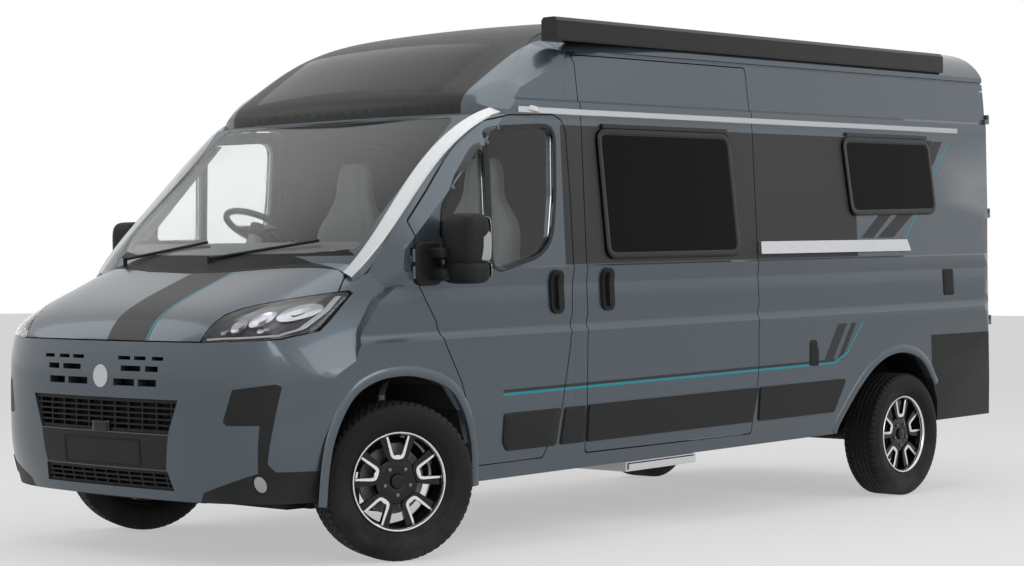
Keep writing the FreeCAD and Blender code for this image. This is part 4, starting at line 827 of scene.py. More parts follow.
@dataclass(frozen=True)
class Pane(Finish):
    """Glass or acrylic, clear or tinted."""

    colour: tuple[float, float, float, float]
    clear: float = 1.0
    roughness: float = 0.02
    density: float = 1.3

    def build(self) -> bpy.types.Material:
        """Build the material: transmission, with a faint film of dust in its roughness.

        Returns:
            The material.
        """
        material, w, surface, place = self.start()
        film = w.ramp(w.noise(place, 5.0, 4.0), 0.45, 0.8, self.roughness, self.roughness + 0.05)
        w.feed(surface.inputs["Roughness"], film)
        tone = w.ramp(w.noise(place, 2.0), 0.2, 0.8, 0.94, 1.0)
        shaded = w.node("ShaderNodeVectorMath", {0: self.colour[:3]}, operation="SCALE")
        w.feed(shaded.inputs["Scale"], tone)
        w.feed(surface.inputs["Base Color"], shaded.outputs[0])
        surface.inputs["Transmission Weight"].default_value = self.clear
        surface.inputs["IOR"].default_value = self.density
        return material


@dataclass(frozen=True)
class ScreenPane(Pane):
    """The clear windscreen, with the dark skylight over it."""

    top: float = 2020.0

    def build(self) -> bpy.types.Material:
        """Build the pane, then darken it over a level height.

        Returns:
            The material.
        """
        material = super().build()
        w = Wiring(material.node_tree)
        surface = material.node_tree.nodes["Principled BSDF"]
        place = w.node("ShaderNodeTexCoord", {}).outputs["Object"]
        over = w.math("GREATER_THAN", w.place(LEVEL, {"Place": place}).outputs["Z"], self.top)
        clear = surface.inputs["Base Color"].links[0].from_socket
        w.feed(surface.inputs["Base Color"], w.blend(over, clear, (0.012, 0.012, 0.013, 1.0)))
        return material


@dataclass(frozen=True)
class Cloth(Finish):
    """Woven seat cloth with slubs and sheen."""

    colour: tuple[float, float, float, float]
    threads: float = 900.0

    def build(self) -> bpy.types.Material:
        """Build the material: crossed threads in the normal, slubs in the colour.

        Returns:
            The material.
        """
        material, w, surface, place = self.start()
        weave = w.place(WEAVE, {"Place": place, "Threads": self.threads}).outputs
        darker = tuple(c * 0.7 for c in self.colour[:3]) + (1.0,)
        w.feed(surface.inputs["Base Color"], w.blend(weave["Slub"], darker, self.colour))
        surface.inputs["Roughness"].default_value = 0.9
        surface.inputs["Sheen Weight"].default_value = 0.3
        self.bump(w, surface, weave["Height"], 0.3, 0.0005)
        return material


# the livery on the side, in level millimetres: along, across, start, end, from, to, half width

TEAL_LINES = [
    ("Y", "Z", -1466.0, 1240.0, 692.0, 700.0, 5.5),
    ("Y", "Z", 1236.0, 1356.0, 700.0, 748.0, 7.0),
    ("Z", "Y", 746.0, 915.0, 1356.0, 1516.0, 6.5),
    ("Z", "Y", 1381.0, 1928.0, 1982.0, 2490.0, 7.0),
]
DARK_SHAPES = [
    ("Y", "Z", -1466.0, 1238.0, 707.0, 714.0, 7.0),
    ("Z", "Y", 712.0, 912.0, 1172.0, 1312.0, 44.0),
    ("Z", "Y", 712.0, 912.0, 1282.0, 1422.0, 25.0),
    ("Z", "Y", 1378.0, 1506.0, 1575.0, 1768.0, 64.0),
    ("Z", "Y", 1378.0, 1506.0, 1760.0, 1978.0, 82.0),
    ("Z", "Y", 1790.0, 1932.0, 2256.0, 2370.0, 48.0),
]
MATT_BANDS = [
    ("Z", "Y", 1278.0, 1936.0, 230.0, 230.0, 1247.0),
    ("Z", "Y", 1506.0, 1936.0, 1840.0, 1910.0, 400.0),
]


@dataclass(frozen=True)
class Lacquer(Finish):
    """The body's grey-blue metallic lacquer with its dark and teal livery."""

    colour: tuple[float, float, float, float] = (0.082, 0.103, 0.121, 1.0)
    dark: tuple[float, float, float, float] = (0.022, 0.0225, 0.024, 1.0)
    teal: tuple[float, float, float, float] = (0.006, 0.31, 0.37, 1.0)
    side_only: float = 900.0
    stripe: tuple[float, float] = (30.0, 300.0)
    edge_line: tuple[float, float] = (284.0, 294.0)
    bonnet_end: float = -2400.0
    bonnet_low: float = 985.0

    def masks(self, w: Wiring, level: dict, shapes: Table) -> Socket:
        """Join the masks of several bands.

        Args:
            w: The material's wiring.
            level: Level coordinates by axis.
            shapes: Rows like those of TEAL_LINES.

        Returns:
            The mask.
        """
        total: Socket | float = 0.0
        for along, across, start, end, low, high, half in shapes:
            inputs = {"Along": level[along], "Across": level[across], "Start": start, "End": end}
            inputs |= {"From": low, "To": high, "Half width": half}
            total = w.math("MAXIMUM", total, w.place(BAND, inputs).outputs["Mask"])
        return total

    def bonnet_stripe(self, w: Wiring, x: Socket, level: dict, reach: tuple[float, float]) -> Socket:
        """Mask a stripe that runs up the bonnet between two lines of x.

        Args:
            w: The material's wiring.
            x: The place's own x in millimetres.
            level: Level coordinates by axis.
            reach: Least and greatest x.

        Returns:
            The mask.
        """
        inside = w.math("MULTIPLY", w.math("GREATER_THAN", x, reach[0]), w.math("LESS_THAN", x, reach[1]))
        ahead = w.math("LESS_THAN", level["Y"], self.bonnet_end)
        return w.math(
            "MULTIPLY", inside,
            w.math("MULTIPLY", ahead, w.math("GREATER_THAN", level["Z"], self.bonnet_low))
        )

    def own_masks(self, w: Wiring, place: Socket, level: dict) -> tuple["Socket | float", "Socket | float"]:
        """Return the dark and teal masks beside the side's livery: the bonnet's stripe and its edge line."""
        x = w.math("MULTIPLY", w.node("ShaderNodeSeparateXYZ", {0: place}).outputs[0], 1000.0)
        return self.bonnet_stripe(w, x, level, self.stripe), self.bonnet_stripe(w, x, level, self.edge_line)

    def build(self) -> bpy.types.Material:
        """Build the material: flakes under a clear coat, with livery masks laid over.

        Returns:
            The material.
        """
        material, w, surface, place = self.start()
        level = w.place(LEVEL, {"Place": place}).outputs
        on_side = w.math("GREATER_THAN", level["X"], self.side_only)
        teal = w.math("MULTIPLY", self.masks(w, level, TEAL_LINES), on_side)
        dark = w.math("MULTIPLY", self.masks(w, level, DARK_SHAPES), on_side)
        band = w.math("MULTIPLY", self.masks(w, level, MATT_BANDS), on_side)
        own_dark, own_teal = self.own_masks(w, place, level)
        dark = w.math("MAXIMUM", w.math("MAXIMUM", dark, band), own_dark)
        teal = w.math("MAXIMUM", teal, own_teal)
        flakes = w.node("ShaderNodeTexVoronoi", {"Vector": place, "Scale": 2600.0}).outputs["Distance"]
        lively = w.ramp(flakes, 0.0, 0.7, 0.85, 1.12)
        metallic_colour = w.node("ShaderNodeVectorMath", {0: self.colour[:3]}, operation="SCALE")
        w.feed(metallic_colour.inputs["Scale"], lively)
        painted = w.blend(dark, metallic_colour.outputs[0], self.dark)
        painted = w.blend(teal, painted, self.teal)
        dust = w.math("MULTIPLY", w.place(DUST, {"Place": place}).outputs["Mask"], 0.12)
        w.feed(surface.inputs["Base Color"], w.blend(dust, painted, DUST_COLOUR))
        plain = w.math("MAXIMUM", dark, teal)
        w.feed(surface.inputs["Metallic"], w.mix_value(plain, 0.55, 0.0))
        w.feed(surface.inputs["Roughness"], w.mix_value(plain, 0.3, 0.5))
        w.feed(surface.inputs["Coat Weight"], w.mix_value(plain, 0.4, 0.08))
        surface.inputs["Specular IOR Level"].default_value = 0.3
        surface.inputs["Coat Roughness"].default_value = 0.04
        self.bump(w, surface, w.noise(place, 34.0, 2.0), 0.015, 0.002)
        return material


@dataclass(frozen=True)
class CapPaint(Lacquer):
    """The roof cap and the roof: black between the cap's two edges, body lacquer outside and behind them."""

    foot_half: float = 788.0
    foot_height: float = 1985.0
    lean: float = 0.02
    back: float = -420.0

    def own_masks(self, w: Wiring, place: Socket, level: dict) -> tuple["Socket | float", "Socket | float"]:
        """Mask the black part: |x| under a line that widens with the height, ahead of the back edge.

        Args:
            w: The material's wiring.
            place: Object coordinates.
            level: Level coordinates by axis.

        Returns:
            The two masks.
        """
        rise = w.math("MULTIPLY", w.math("SUBTRACT", level["Z"], self.foot_height), self.lean)
        across = w.math("LESS_THAN", level["X"], w.math("ADD", self.foot_half, rise))
        return w.math("MULTIPLY", across, w.math("LESS_THAN", level["Y"], self.back)), 0.0


@dataclass(frozen=True)
class TailLamp(Finish):
    """The tail lamp's ribbed lens, red with a clear band."""

    clear_height: float = 1240.0
    clear_half: float = 62.0

    def build(self) -> bpy.types.Material:
        """Build the material: colour by height, fine upright ribs in the normal.

        Returns:
            The material.
        """
        material, w, surface, place = self.start()
        level = w.place(LEVEL, {"Place": place}).outputs
        inputs = {"Along": level["Y"], "Across": level["Z"], "Start": 0.0, "End": 9000.0}
        inputs |= {"From": self.clear_height, "To": self.clear_height, "Half width": self.clear_half}
        clear = w.place(BAND, inputs).outputs["Mask"]
        w.feed(
            surface.inputs["Base Color"],
            w.blend(clear, (0.030, 0.0015, 0.002, 1.0), (0.020, 0.019, 0.020, 1.0))
        )
        surface.inputs["Roughness"].default_value = 0.12
        surface.inputs["Coat Weight"].default_value = 1.0
        ribs = w.math("SINE", w.math("MULTIPLY", level["Z"], 0.9))
        self.bump(w, surface, ribs, 0.25, 0.001)
        return material


@dataclass(frozen=True)
class Glow(Finish):
    """A lamp's white light guide, unlit: milky and smooth."""

    def build(self) -> bpy.types.Material:
        """Build the material with faint cross ribs.

        Returns:
            The material.
        """
        material, w, surface, place = self.start()
        ribs = w.noise(place, 300.0)
        w.feed(
            surface.inputs["Base Color"], w.blend(ribs, (0.30, 0.31, 0.32, 1.0), (0.42, 0.43, 0.44, 1.0))
        )
        surface.inputs["Roughness"].default_value = 0.2
        surface.inputs["Coat Weight"].default_value = 0.6
        self.bump(w, surface, ribs, 0.1, 0.0005)
        return material


class Finishes:
    """Every finish of the vehicle, built once."""

    def __init__(self) -> None:
        """Build them all."""
        self.lacquer = Lacquer("body_lacquer").build()
        self.cap = CapPaint("cap_black_and_lacquer", dark=(0.010, 0.0102, 0.0106, 1.0)).build()
        self.black_plastic = Moulded("grained_black", (0.011, 0.0115, 0.012, 1.0)).build()
        self.dark_trim = Moulded("dark_lower_trim", (0.019, 0.0195, 0.0205, 1.0), 0.5, 0.3).build()
        self.satin_black = Moulded(
            "satin_black", (0.009, 0.0092, 0.0095, 1.0), 0.3, 0.05, 1400.0, 0.1, 0.12
        ).build()
        self.gloss_black = Moulded(
            "gloss_black", (0.006, 0.006, 0.007, 1.0), 0.12, 0.02, 1600.0, 0.1, 0.3
        ).build()
        self.chassis = Moulded("chassis_black", (0.009, 0.009, 0.009, 1.0), 0.65, 0.4, 400.0, 0.7).build()
        self.rubber = Moulded("tyre_rubber", (0.012, 0.012, 0.0122, 1.0), 0.62, 0.25, 700.0, 0.25).build()
        self.trim_grey = Moulded("cab_trim", (0.16, 0.16, 0.158, 1.0), 0.6, 0.3, 700.0, 0.0).build()
        # dashboard trim: a real part, but its pale grey is painted reflection, standing in for the pale
        # reflection on the windscreen
        self.dash_trim_painted_reflection = Moulded("dash_shelf_painted_reflection", (0.33, 0.33, 0.325, 1.0), 0.6, 0.2, 700.0, 0.0).build()
        self.laminate = Moulded(
            "furniture_laminate", (0.40, 0.36, 0.30, 1.0), 0.45, 0.1, 300.0, 0.0
        ).build()
        self.machined = Metal("diamond_cut", (0.80, 0.80, 0.81, 1.0), 0.22).build()
        self.aluminium = Metal("anodised", (0.62, 0.63, 0.65, 1.0), 0.32).build()
        self.steel = Metal("brake_steel", (0.17, 0.17, 0.175, 1.0), 0.45).build()
        self.reflector = Metal("reflector", (0.34, 0.345, 0.355, 1.0), 0.16, 500.0, 0.0).build()
        # pale metal: real on the blank badge; on the side strips it is a painted highlight where the ledge
        # and windscreen pillars catch the light
        self.silver = Metal("silver_strip", (0.50, 0.51, 0.52, 1.0), 0.42, 120.0, 0.0).build()
        self.clear = ScreenPane("windscreen_glass", (0.93, 0.96, 0.95, 1.0)).build()
        self.lens = Pane("lamp_lens", (0.97, 0.98, 1.0, 1.0)).build()
        self.tinted = Pane("tinted_acrylic", (0.005, 0.005, 0.0055, 1.0), 0.25, 0.04, 1.14).build()
        self.cloth = Cloth("seat_cloth", (0.34, 0.345, 0.355, 1.0)).build()
        self.blind = Cloth("pleated_blind", (0.42, 0.42, 0.42, 1.0), 500.0).build()
        self.tail = TailLamp("tail_lens").build()
        self.glow = Glow("light_guide").build()

    def for_node(self, node: str) -> bpy.types.Material:
        """Choose the finish of a CAD node by its name."""
        starts = {
            "tyre": self.rubber, "rim": self.satin_black, "knuckle": self.steel, "mirror": self.black_plastic,
            "door_handle": self.black_plastic, "side_handle": self.black_plastic, "door_glass": self.clear,
            "rear_glass": self.tinted, "rear_axle": self.chassis, "rear_bumper": self.dark_trim,
            "rear_lamps": self.tail, "front_glass": self.clear, "front_grille": self.black_plastic,
            "front_subframe": self.chassis, "headlamps": self.lens, "bumper_trim": self.dark_trim,
            "roof_cap": self.satin_black, "cowl": self.black_plastic, "wipers": self.black_plastic,
            "side_windows": self.tinted, "slide_rail": self.aluminium, "awning": self.satin_black,
            "step_housing": self.aluminium, "step_tread": self.aluminium, "rub_strips": self.dark_trim,
            "dashboard": self.dash_trim_painted_reflection, "cab_seats": self.cloth, "seat_plinths": self.trim_grey,
            "engine": self.steel, "fuel_tank": self.black_plastic, "exhaust": self.steel,
            "furniture": self.laminate, "floor": self.chassis, "wheel_houses": self.chassis,
            "steering_wheel": self.satin_black,
        }
        return next((finish for start, finish in starts.items() if node.startswith(start)), self.lacquer)


# wheels


@dataclass
class Wheel:
    """A tyre with cut tread on a rim with five U-shaped machined edges, drawn about its own centre."""

    place: str
    side: Side
    steered: bool
    tyre_radius: float = 350.0
    half_width: float = 112.0
    face: float = 66.0
    bolt_circle: float = 62.0
    tread_pitches: int = 62

    @property
    def body(self) -> str:
        """The body that the wheel rides on."""
        return f"wheel_{self.place}_{self.side.word}"

    def stand(self, local: Points) -> Points:
        """Turn points about the wheel's centre and stand them in the vehicle.

        The wheel turns about z by its steering angle, plus half a turn on the right, and moves to its hub.

        Args:
            local: Points with x outboard along the axle, in millimetres.

        Returns:
            Points in metres.
        """
        sign = self.side.value
        turn = (STEERED if self.steered else 0.0) + (0.0 if sign > 0 else math.pi)
        c, s = math.cos(turn), math.sin(turn)
        if self.steered:
            hub = (
                sign * (KINGPIN + KINGPIN_INSET * math.cos(STEERED)),
                FRONT_AXLE + sign * KINGPIN_INSET * math.sin(STEERED)
            )
        else:
            hub = (sign * REAR_HALF_TRACK, REAR_AXLE)
        x, y = local[..., 0], local[..., 1]
        return np.stack(
            [hub[0] + c * x - s * y, hub[1] + s * x + c * y, HUB_HEIGHT + local[..., 2]], -1
        ) * MM

    def turned(self, section: Points, steps: int = 96) -> Points:
        """Turn a section (x, r) about the axle: y = r sin a, z = r cos a.

        Args:
            section: The section's points (x, r).
            steps: Points round the axle.

        Returns:
            The grid in metres.
        """
        angle = np.linspace(0, 2 * math.pi, steps, endpoint=False)[:, None]
        x, r = section[None, :, 0], section[None, :, 1]
        return self.stand(np.stack([x + 0 * angle, r * np.sin(angle), r * np.cos(angle)], -1))

    def tyre_section(self) -> Points:
        """Return the tyre's closed section (x, r): bead, bulging sidewall, shoulder and crowned tread.

        Returns:
            The section, (n, 2).
        """
        h = self.half_width
        wall = [
            (76, 204), (81, 204), (80.5, 222), (88, 232), (99, 246), (99.5, 249), (103, 252), (h - 2, 272)
        ]
        wall += [
            (h, 290), (h - 0.5, 306), (h - 1, 309), (h - 3, 311), (h - 6, 323), (h - 12, 335),
            (h - 20, 342.5)
        ]
        tread_x = np.linspace(h - 26, -(h - 26), 47)
        tread = np.stack([tread_x, self.tyre_radius - 0.9 - 4.0 * (tread_x / h) ** 4], 1)
        left = np.array(wall, float)
        right = left[::-1] * [-1, 1]
        inside = np.array([(-60, 206), (0, 205), (60, 206)], float)
        return np.vstack([left, tread, right, inside])

    def build_tyre(self, finishes: Finishes) -> None:
        """Carry the section round, with grooves cut by lowering r.

        r falls by the groove depth where x is in a circumferential groove, or where the place along the
        tread, skewed by x, is in a cross groove of the shoulder or a sipe of the middle blocks.

        Args:
            finishes: The vehicle's finishes.
        """
        section = self.tyre_section()
        steps = self.tread_pitches * 6
        angle = np.linspace(0, 2 * math.pi, steps, endpoint=False)[:, None]
        x = np.broadcast_to(section[None, :, 0], (steps, len(section)))
        r = np.broadcast_to(section[None, :, 1], (steps, len(section))).copy()
        on_tread = (r > self.tyre_radius - 9) & (np.abs(x) < self.half_width - 14)
        ring = np.min(np.abs(np.abs(x)[..., None] - np.array([0.5, 27.0, 58.0])), -1) < 3.4
        phase = (angle / (2 * math.pi) * self.tread_pitches + x * 0.012) % 1.0
        cross = (phase < 0.2) & (np.abs(x) > 60)
        sipe = (np.abs(phase - 0.5) < 0.09) & (np.abs(x) < 56)
        r -= np.where(
            on_tread & ring, 7.5, np.where(on_tread & cross, 6.5, np.where(on_tread & sipe, 3.5, 0.0))
        )
        ribbed = (np.abs(x) > self.half_width - 14) & (r > 325) & (phase < 0.3)
        r -= np.where(ribbed, 2.2, 0.0)
        grid = self.stand(np.stack([x, r * np.sin(angle), r * np.cos(angle)], -1))
        piece = Shell().add(grid, Ring.CLOSED, Ring.CLOSED).build(
            f"tyre_{self.place}_{self.side.word}_cut", finishes.rubber, self.body, "tyre", 28.0
        )
        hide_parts(f"tyre_{self.place}_{self.side.word}")

    def u_path(self) -> Points:
        """Return half a U's middle line in the wheel's face: straight arm, rounded foot.

        Returns:
            The path, (n, 2).
        """
        arm = [(54.0, 206.0), (45.5, 178.0), (37.0, 148.0), (29.5, 121.0)]
        foot = [(24.0, 107.5), (17.0, 103.0), (0.0, 102.0)]
        half = np.array(arm + foot)
        return resample(np.vstack([half, (half * [-1, 1])[::-1][1:]]), 33)

    def ribbon(self, path: Points, left: Points, right: Points, section: Table) -> Points:
        """Carry a section along a path in the face: across = share of the left or right reach, x = height.

        Args:
            path: Middle line (y, z), (n, 2).
            left: Reach to the left at each point.
            right: Reach to the right at each point.
            section: (share from -1 to 1, height over the face) round the section.

        Returns:
            Local section rings, (n, section, 3).
        """
        along = np.gradient(path, axis=0)
        along /= np.linalg.norm(along, axis=1, keepdims=True)
        across = np.stack([along[:, 1], -along[:, 0]], 1)
        share = np.array([s for s, h in section])
        reach = np.where(share[None] > 0, right[:, None], left[:, None]) * share[None]
        plan = path[:, None] + across[:, None] * reach[..., None]
        height = np.broadcast_to(np.array([h for s, h in section])[None], reach.shape)
        return np.stack([height, plan[..., 0], plan[..., 1]], -1)

    def five(self, shell: Shell, local: Points) -> None:
        """Add a form five times round the axle."""
        for k in range(5):
            a = k * 2 * math.pi / 5
            y, z = local[..., 1], local[..., 2]
            turned = np.stack(
                [local[..., 0], y * math.cos(a) + z * math.sin(a), z * math.cos(a) - y * math.sin(a)], -1
            )
            shell.tube(self.stand(turned))

    def build_rim(self, finishes: Finishes) -> None:
        """Build barrel, lip, U-shaped edges, dark flanks, hub, bolts, cap and brake disc.

        Args:
            finishes: The vehicle's finishes.
        """
        tag = f"{self.place}_{self.side.word}"
        face = self.face
        barrel = [
            (80, 216), (74, 206), (60, 203), (44, 198), (28, 192), (-30, 190), (-60, 198), (-78, 204),
            (-86, 217)
        ]
        barrel += [(-80, 218.5), (-74, 208), (-40, 201), (0, 199), (40, 202), (66, 206), (76, 218)]
        rim = Shell().add(self.turned(np.array(barrel, float)), Ring.CLOSED, Ring.CLOSED)
        path = self.u_path()
        down = np.abs(path[:, 0]) / 54.0
        depth = [(-1, face - 2.5), (1, face - 2.5), (1.0, face - 24), (-1.0, face - 24)]
        self.five(rim, self.ribbon(path, 14.0 + 22.0 * down, 6.0 + 4.0 * (1 - down), depth))
        hub = [
            (face - 30, 30), (face - 8, 31), (face - 5, 38), (face - 7, 84), (face - 11, 98),
            (face - 26, 104), (face - 30, 60)
        ]
        rim.add(self.turned(np.array(hub, float), 80), Ring.CLOSED, Ring.CLOSED)
        piece = rim.build(f"rim_{tag}_dark", finishes.gloss_black, self.body, "alloy", 30.0)
        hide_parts(f"rim_{tag}")
        edge = Shell()
        top = [
            (-1, face - 1.0), (-0.8, face + 0.6), (0.8, face + 0.6), (1, face - 1.0), (1, face - 6),
            (-1, face - 6)
        ]
        self.five(edge, self.ribbon(path, 5.2 + 2.5 * (1 - down), 5.0 + 7.5 * (1 - down), top))
        lip = [
            (79, 217.8), (85, 218.6), (87.6, 216.6), (87.0, 211.5), (81, 206.5), (72, 203.6), (70, 206),
            (76, 213)
        ]
        edge.add(self.turned(np.array(lip, float), 128), Ring.CLOSED, Ring.CLOSED)
        edge.build(f"rim_{tag}_machined", finishes.machined, self.body, "alloy", 30.0)
        bolt = [(face - 16, 9.5), (face - 2, 9.5), (face + 1, 8.5), (face + 2.5, 5.5), (face + 3, 0.01)]
        small = Shell()
        for k in range(5):
            a = (k + 0.5) * 2 * math.pi / 5
            place = (self.bolt_circle * math.sin(a), self.bolt_circle * math.cos(a))
            small.add(self.round_form(bolt, *place, 6), Ring.CLOSED)
        small.build(f"wheel_bolts_{tag}", finishes.steel, self.body, "alloy", 30.0)
        cap = [
            (face - 14, 31), (face - 1, 31), (face + 3, 29.5), (face + 4.6, 24), (face + 5.4, 12),
            (face + 5.6, 0.01)
        ]
        Shell().add(self.round_form(cap, 0.0, 0.0, 40), Ring.CLOSED).build(
            f"hub_cap_{tag}", finishes.gloss_black, self.body, "alloy", 40.0
        )
        disc = [
            (-12, 60), (-12, 150), (-20, 150), (-20, 147), (-32, 147), (-32, 150), (-40, 150), (-40, 60)
        ]
        brake = Shell().add(self.turned(np.array(disc, float)), Ring.CLOSED, Ring.CLOSED)
        bell = [(36, 34), (36, 56), (26, 62), (-12, 64), (-12, 60), (20, 34)]
        brake.add(self.turned(np.array(bell, float), 48), Ring.CLOSED, Ring.CLOSED)
        brake.build(f"brake_disc_{tag}", finishes.steel, self.body, "alloy", 30.0)

    def round_form(self, section: Table, y: float, z: float, steps: int) -> Points:
        """Turn a small section about an axis parallel to the axle, at (y, z) in the face.

        Args:
            section: The section's points (x, r).
            y: The axis' y in the face.
            z: The axis' z in the face.
            steps: Points round the form.

        Returns:
            The grid in metres.
        """
        angle = np.linspace(0, 2 * math.pi, steps, endpoint=False)[:, None]
        s = np.array(section, float)
        local = np.stack(
            [
                s[None, :, 0] + 0 * angle, y + s[None, :, 1] * np.sin(angle),
                z + s[None, :, 1] * np.cos(angle)
            ],
            -1
        )
        return self.stand(local)

    def build(self, finishes: Finishes) -> None:
        """Build the whole wheel."""
        self.build_tyre(finishes)
        self.build_rim(finishes)


# lamps and nose


@dataclass
class Headlamp:
    """A headlamp: a clear lens over a dark tray with five reflector bowls and a light guide.

    Outline and guide are lines of (x, z); units are each bowl's (x, z, radius, squash).
    """

    side: Side
    outline: Table = (
        (604, 987), (626, 1040), (644, 1098), (682, 1125), (800, 1162), (895, 1187), (906, 1178),
        (924, 1062), (930, 1023), (896, 997), (760, 990),
    )
    guide: Table = (
        (628.0, 998.0), (700.0, 1003.0), (800.0, 1006.0), (886.0, 1012.0), (908.0, 1036.0),
        (904.0, 1110.0), (892.0, 1168.0),
    )
    units: Table = (
        (862.0, 1104.0, 36.0, 1.0), (796.0, 1078.0, 32.0, 1.0), (738.0, 1052.0, 28.0, 1.0),
        (694.0, 1028.0, 16.0, 0.8), (836.0, 1034.0, 18.0, 0.7),
    )

    def plan(self, points: Points) -> Points:
        """Mirror plan points to the lamp's own side."""
        return points * [self.side.value, 1.0]

    def build(self, finishes: Finishes, skin: Skin) -> bpy.types.Object:
        """Build the lens, tray, bowls and guide on the lamp's own CAD skin.

        Args:
            finishes: The vehicle's finishes.
            skin: The CAD headlamps' skin.

        Returns:
            The lens, which stands for the CAD lamp.
        """
        tag = self.side.word
        relief = Relief(skin, View.NOSE)
        outline = self.plan(rounded(self.outline, 22.0, 90))
        lens = Shell()
        shares = [0.0, 0.2, 0.4, 0.6, 0.8, 0.93, 1.0]
        lens.add(relief.fill(outline, shares, [-0.4] * 6 + [-1.2]), Ring.CLOSED)
        lens.add(relief.fill(outline, shares, [-3.4] * 7), Ring.CLOSED, flip=True)
        lens.add(relief.ring(outline, [0.0, 0.0], [-1.2, -3.4]), Ring.CLOSED)
        piece = lens.build(f"headlamp_lens_{tag}", finishes.lens, "van_body", "lamp_clear", 40.0)
        tray = Shell()
        tray.add(relief.ring(outline, [1.0, 1.0, 7.0, 14.0], [-1.5, -14.0, -30.0, -40.0]), Ring.CLOSED)
        tray.add(relief.fill(outline, [0.0, 0.5, 0.8, 0.96], [-40.0, -40.0, -38.0, -34.0]), Ring.CLOSED)
        tray.build(f"headlamp_tray_{tag}", finishes.gloss_black, "van_body", "gloss_black", 30.0)
        bowls = Shell()
        for x, z, radius, squash in self.units:
            angle = np.linspace(0, 2 * math.pi, 40, endpoint=False)
            rim = np.stack([x + radius * np.cos(angle), z + radius * squash * np.sin(angle)], 1)
            bowls.add(
                relief.fill(
                    self.plan(rim), [0.0, 0.3, 0.31, 0.7, 0.92, 1.0],
                    [-20.0, -20.0, -36.0, -33.0, -22.0, -18.0]
                ),
                Ring.CLOSED
            )
        bowls.build(f"headlamp_bowls_{tag}", finishes.reflector, "van_body", "aluminium", 25.0)
        guide = Shell()
        line = resample(self.plan(np.array(self.guide)), 60)
        guide.tube(relief.strip(line, 9.0, 6.0) + np.array([0.0, 0.014, 0.0]))
        guide.build(f"headlamp_guide_{tag}", finishes.glow, "van_body", "lamp_clear", 40.0)
        return piece


@dataclass
class Nose:
    """The nose's small forms: backing behind the openings, blank badge, sensor, fog lamps and plate frame.

    Openings are (low, high, reach to each side, depth behind the skin).
    """

    badge: tuple[float, float] = (0.0, 833.0)
    badge_radius: float = 52.0
    fog_lamp: tuple[float, float] = (850.0, 392.0)
    sensor: Table = ((-60.0, 590.0), (60.0, 590.0), (60.0, 640.0), (-60.0, 640.0))
    plate: Table = ((-262.0, 448.0), (262.0, 448.0), (262.0, 566.0), (-262.0, 566.0))
    openings: Table = ((300.0, 760.0, 560.0, -60.0), (780.0, 960.0, 470.0, -56.0))

    def build(self, finishes: Finishes) -> None:
        """Build everything that the bumper and its inserts carry.

        Args:
            finishes: The vehicle's finishes.
        """
        bumper = Skin("front_bumper", "bumper_trim")
        relief = Relief(bumper, View.NOSE)
        angle = np.linspace(0, 2 * math.pi, 64, endpoint=False)
        circle = np.stack([np.cos(angle), np.sin(angle)], 1)
        profile = [(0.0, 0.5), (0.5, 0.5), (0.74, 0.2), (0.84, 0.9), (0.94, 0.6), (1.0, -2.0)]
        dress = (finishes.silver, "van_body", "aluminium", 30.0)
        relief.plate("badge_blank", self.badge + circle * self.badge_radius, profile, dress)
        backing = Shell()
        for low, high, reach, depth in self.openings:
            u, v = np.meshgrid(np.linspace(-reach, reach, 40), np.linspace(low, high, 8), indexing="ij")
            backing.add(to_world(bumper.drop(np.stack([u, v], -1), View.NOSE, depth)))
        backing.build("nose_backing", finishes.black_plastic, "van_body", "black_plastic")
        for side in Side:
            self.build_fog_lamp(side, relief, finishes, circle)
        profile = [(0.0, 3.0), (0.6, 3.0), (0.9, 2.0), (1.0, -2.0)]
        dress = (finishes.gloss_black, "van_body", "gloss_black", 35.0)
        relief.plate("distance_sensor", rounded(self.sensor, 8.0, 48), profile, dress)
        plate = Shell().add(
            relief.ring(rounded(self.plate, 10.0, 120), [0.0, 1.0, 5.0, 7.0], [-1.0, 3.2, 3.2, -1.0]),
            Ring.CLOSED
        )
        plate.build("plate_holder", finishes.black_plastic, "van_body", "black_plastic")

    def build_fog_lamp(self, side: Side, relief: Relief, finishes: Finishes, circle: Points) -> None:
        """Build one fog lamp with its ring and lens, narrow because they face ahead on a slanted skin.

        Args:
            side: The lamp's side.
            relief: The bumper's relief.
            finishes: The vehicle's finishes.
            circle: A unit circle's points.
        """
        middle = np.array(self.fog_lamp) * [side.value, 1.0]
        dress = (finishes.black_plastic, "van_body", "black_plastic", 35.0)
        profile = [(0.8, -2.0), (0.84, 5.0), (0.92, 5.0), (1.0, -2.0)]
        relief.plate(f"fog_ring_{side.word}", middle + circle * [27.0, 44.0], profile, dress)
        dress = (finishes.reflector, "van_body", "aluminium", 60.0)
        profile = [(0.0, 6.0), (0.35, 5.2), (0.7, 3.2), (1.0, 0.6)]
        relief.plate(f"fog_lens_{side.word}", middle + circle * [21.0, 35.0], profile, dress)


# body details

FRONT_ARCH = [
    (-533.0, -62.0), (-516.0, 94.0), (-477.0, 238.0), (-371.0, 392.0), (-243.0, 449.0), (-109.0, 465.0)
]
FRONT_ARCH += [(26.0, 458.0), (224.0, 402.0), (320.0, 290.0), (381.0, 130.0), (395.0, -62.0)]
REAR_ARCH = [
    (-698.0, 52.0), (-684.0, 90.0), (-583.0, 202.0), (-473.0, 312.0), (-315.0, 428.0), (-90.0, 482.0)
]
REAR_ARCH += [(138.0, 437.0), (262.0, 317.0), (300.0, 262.0)]


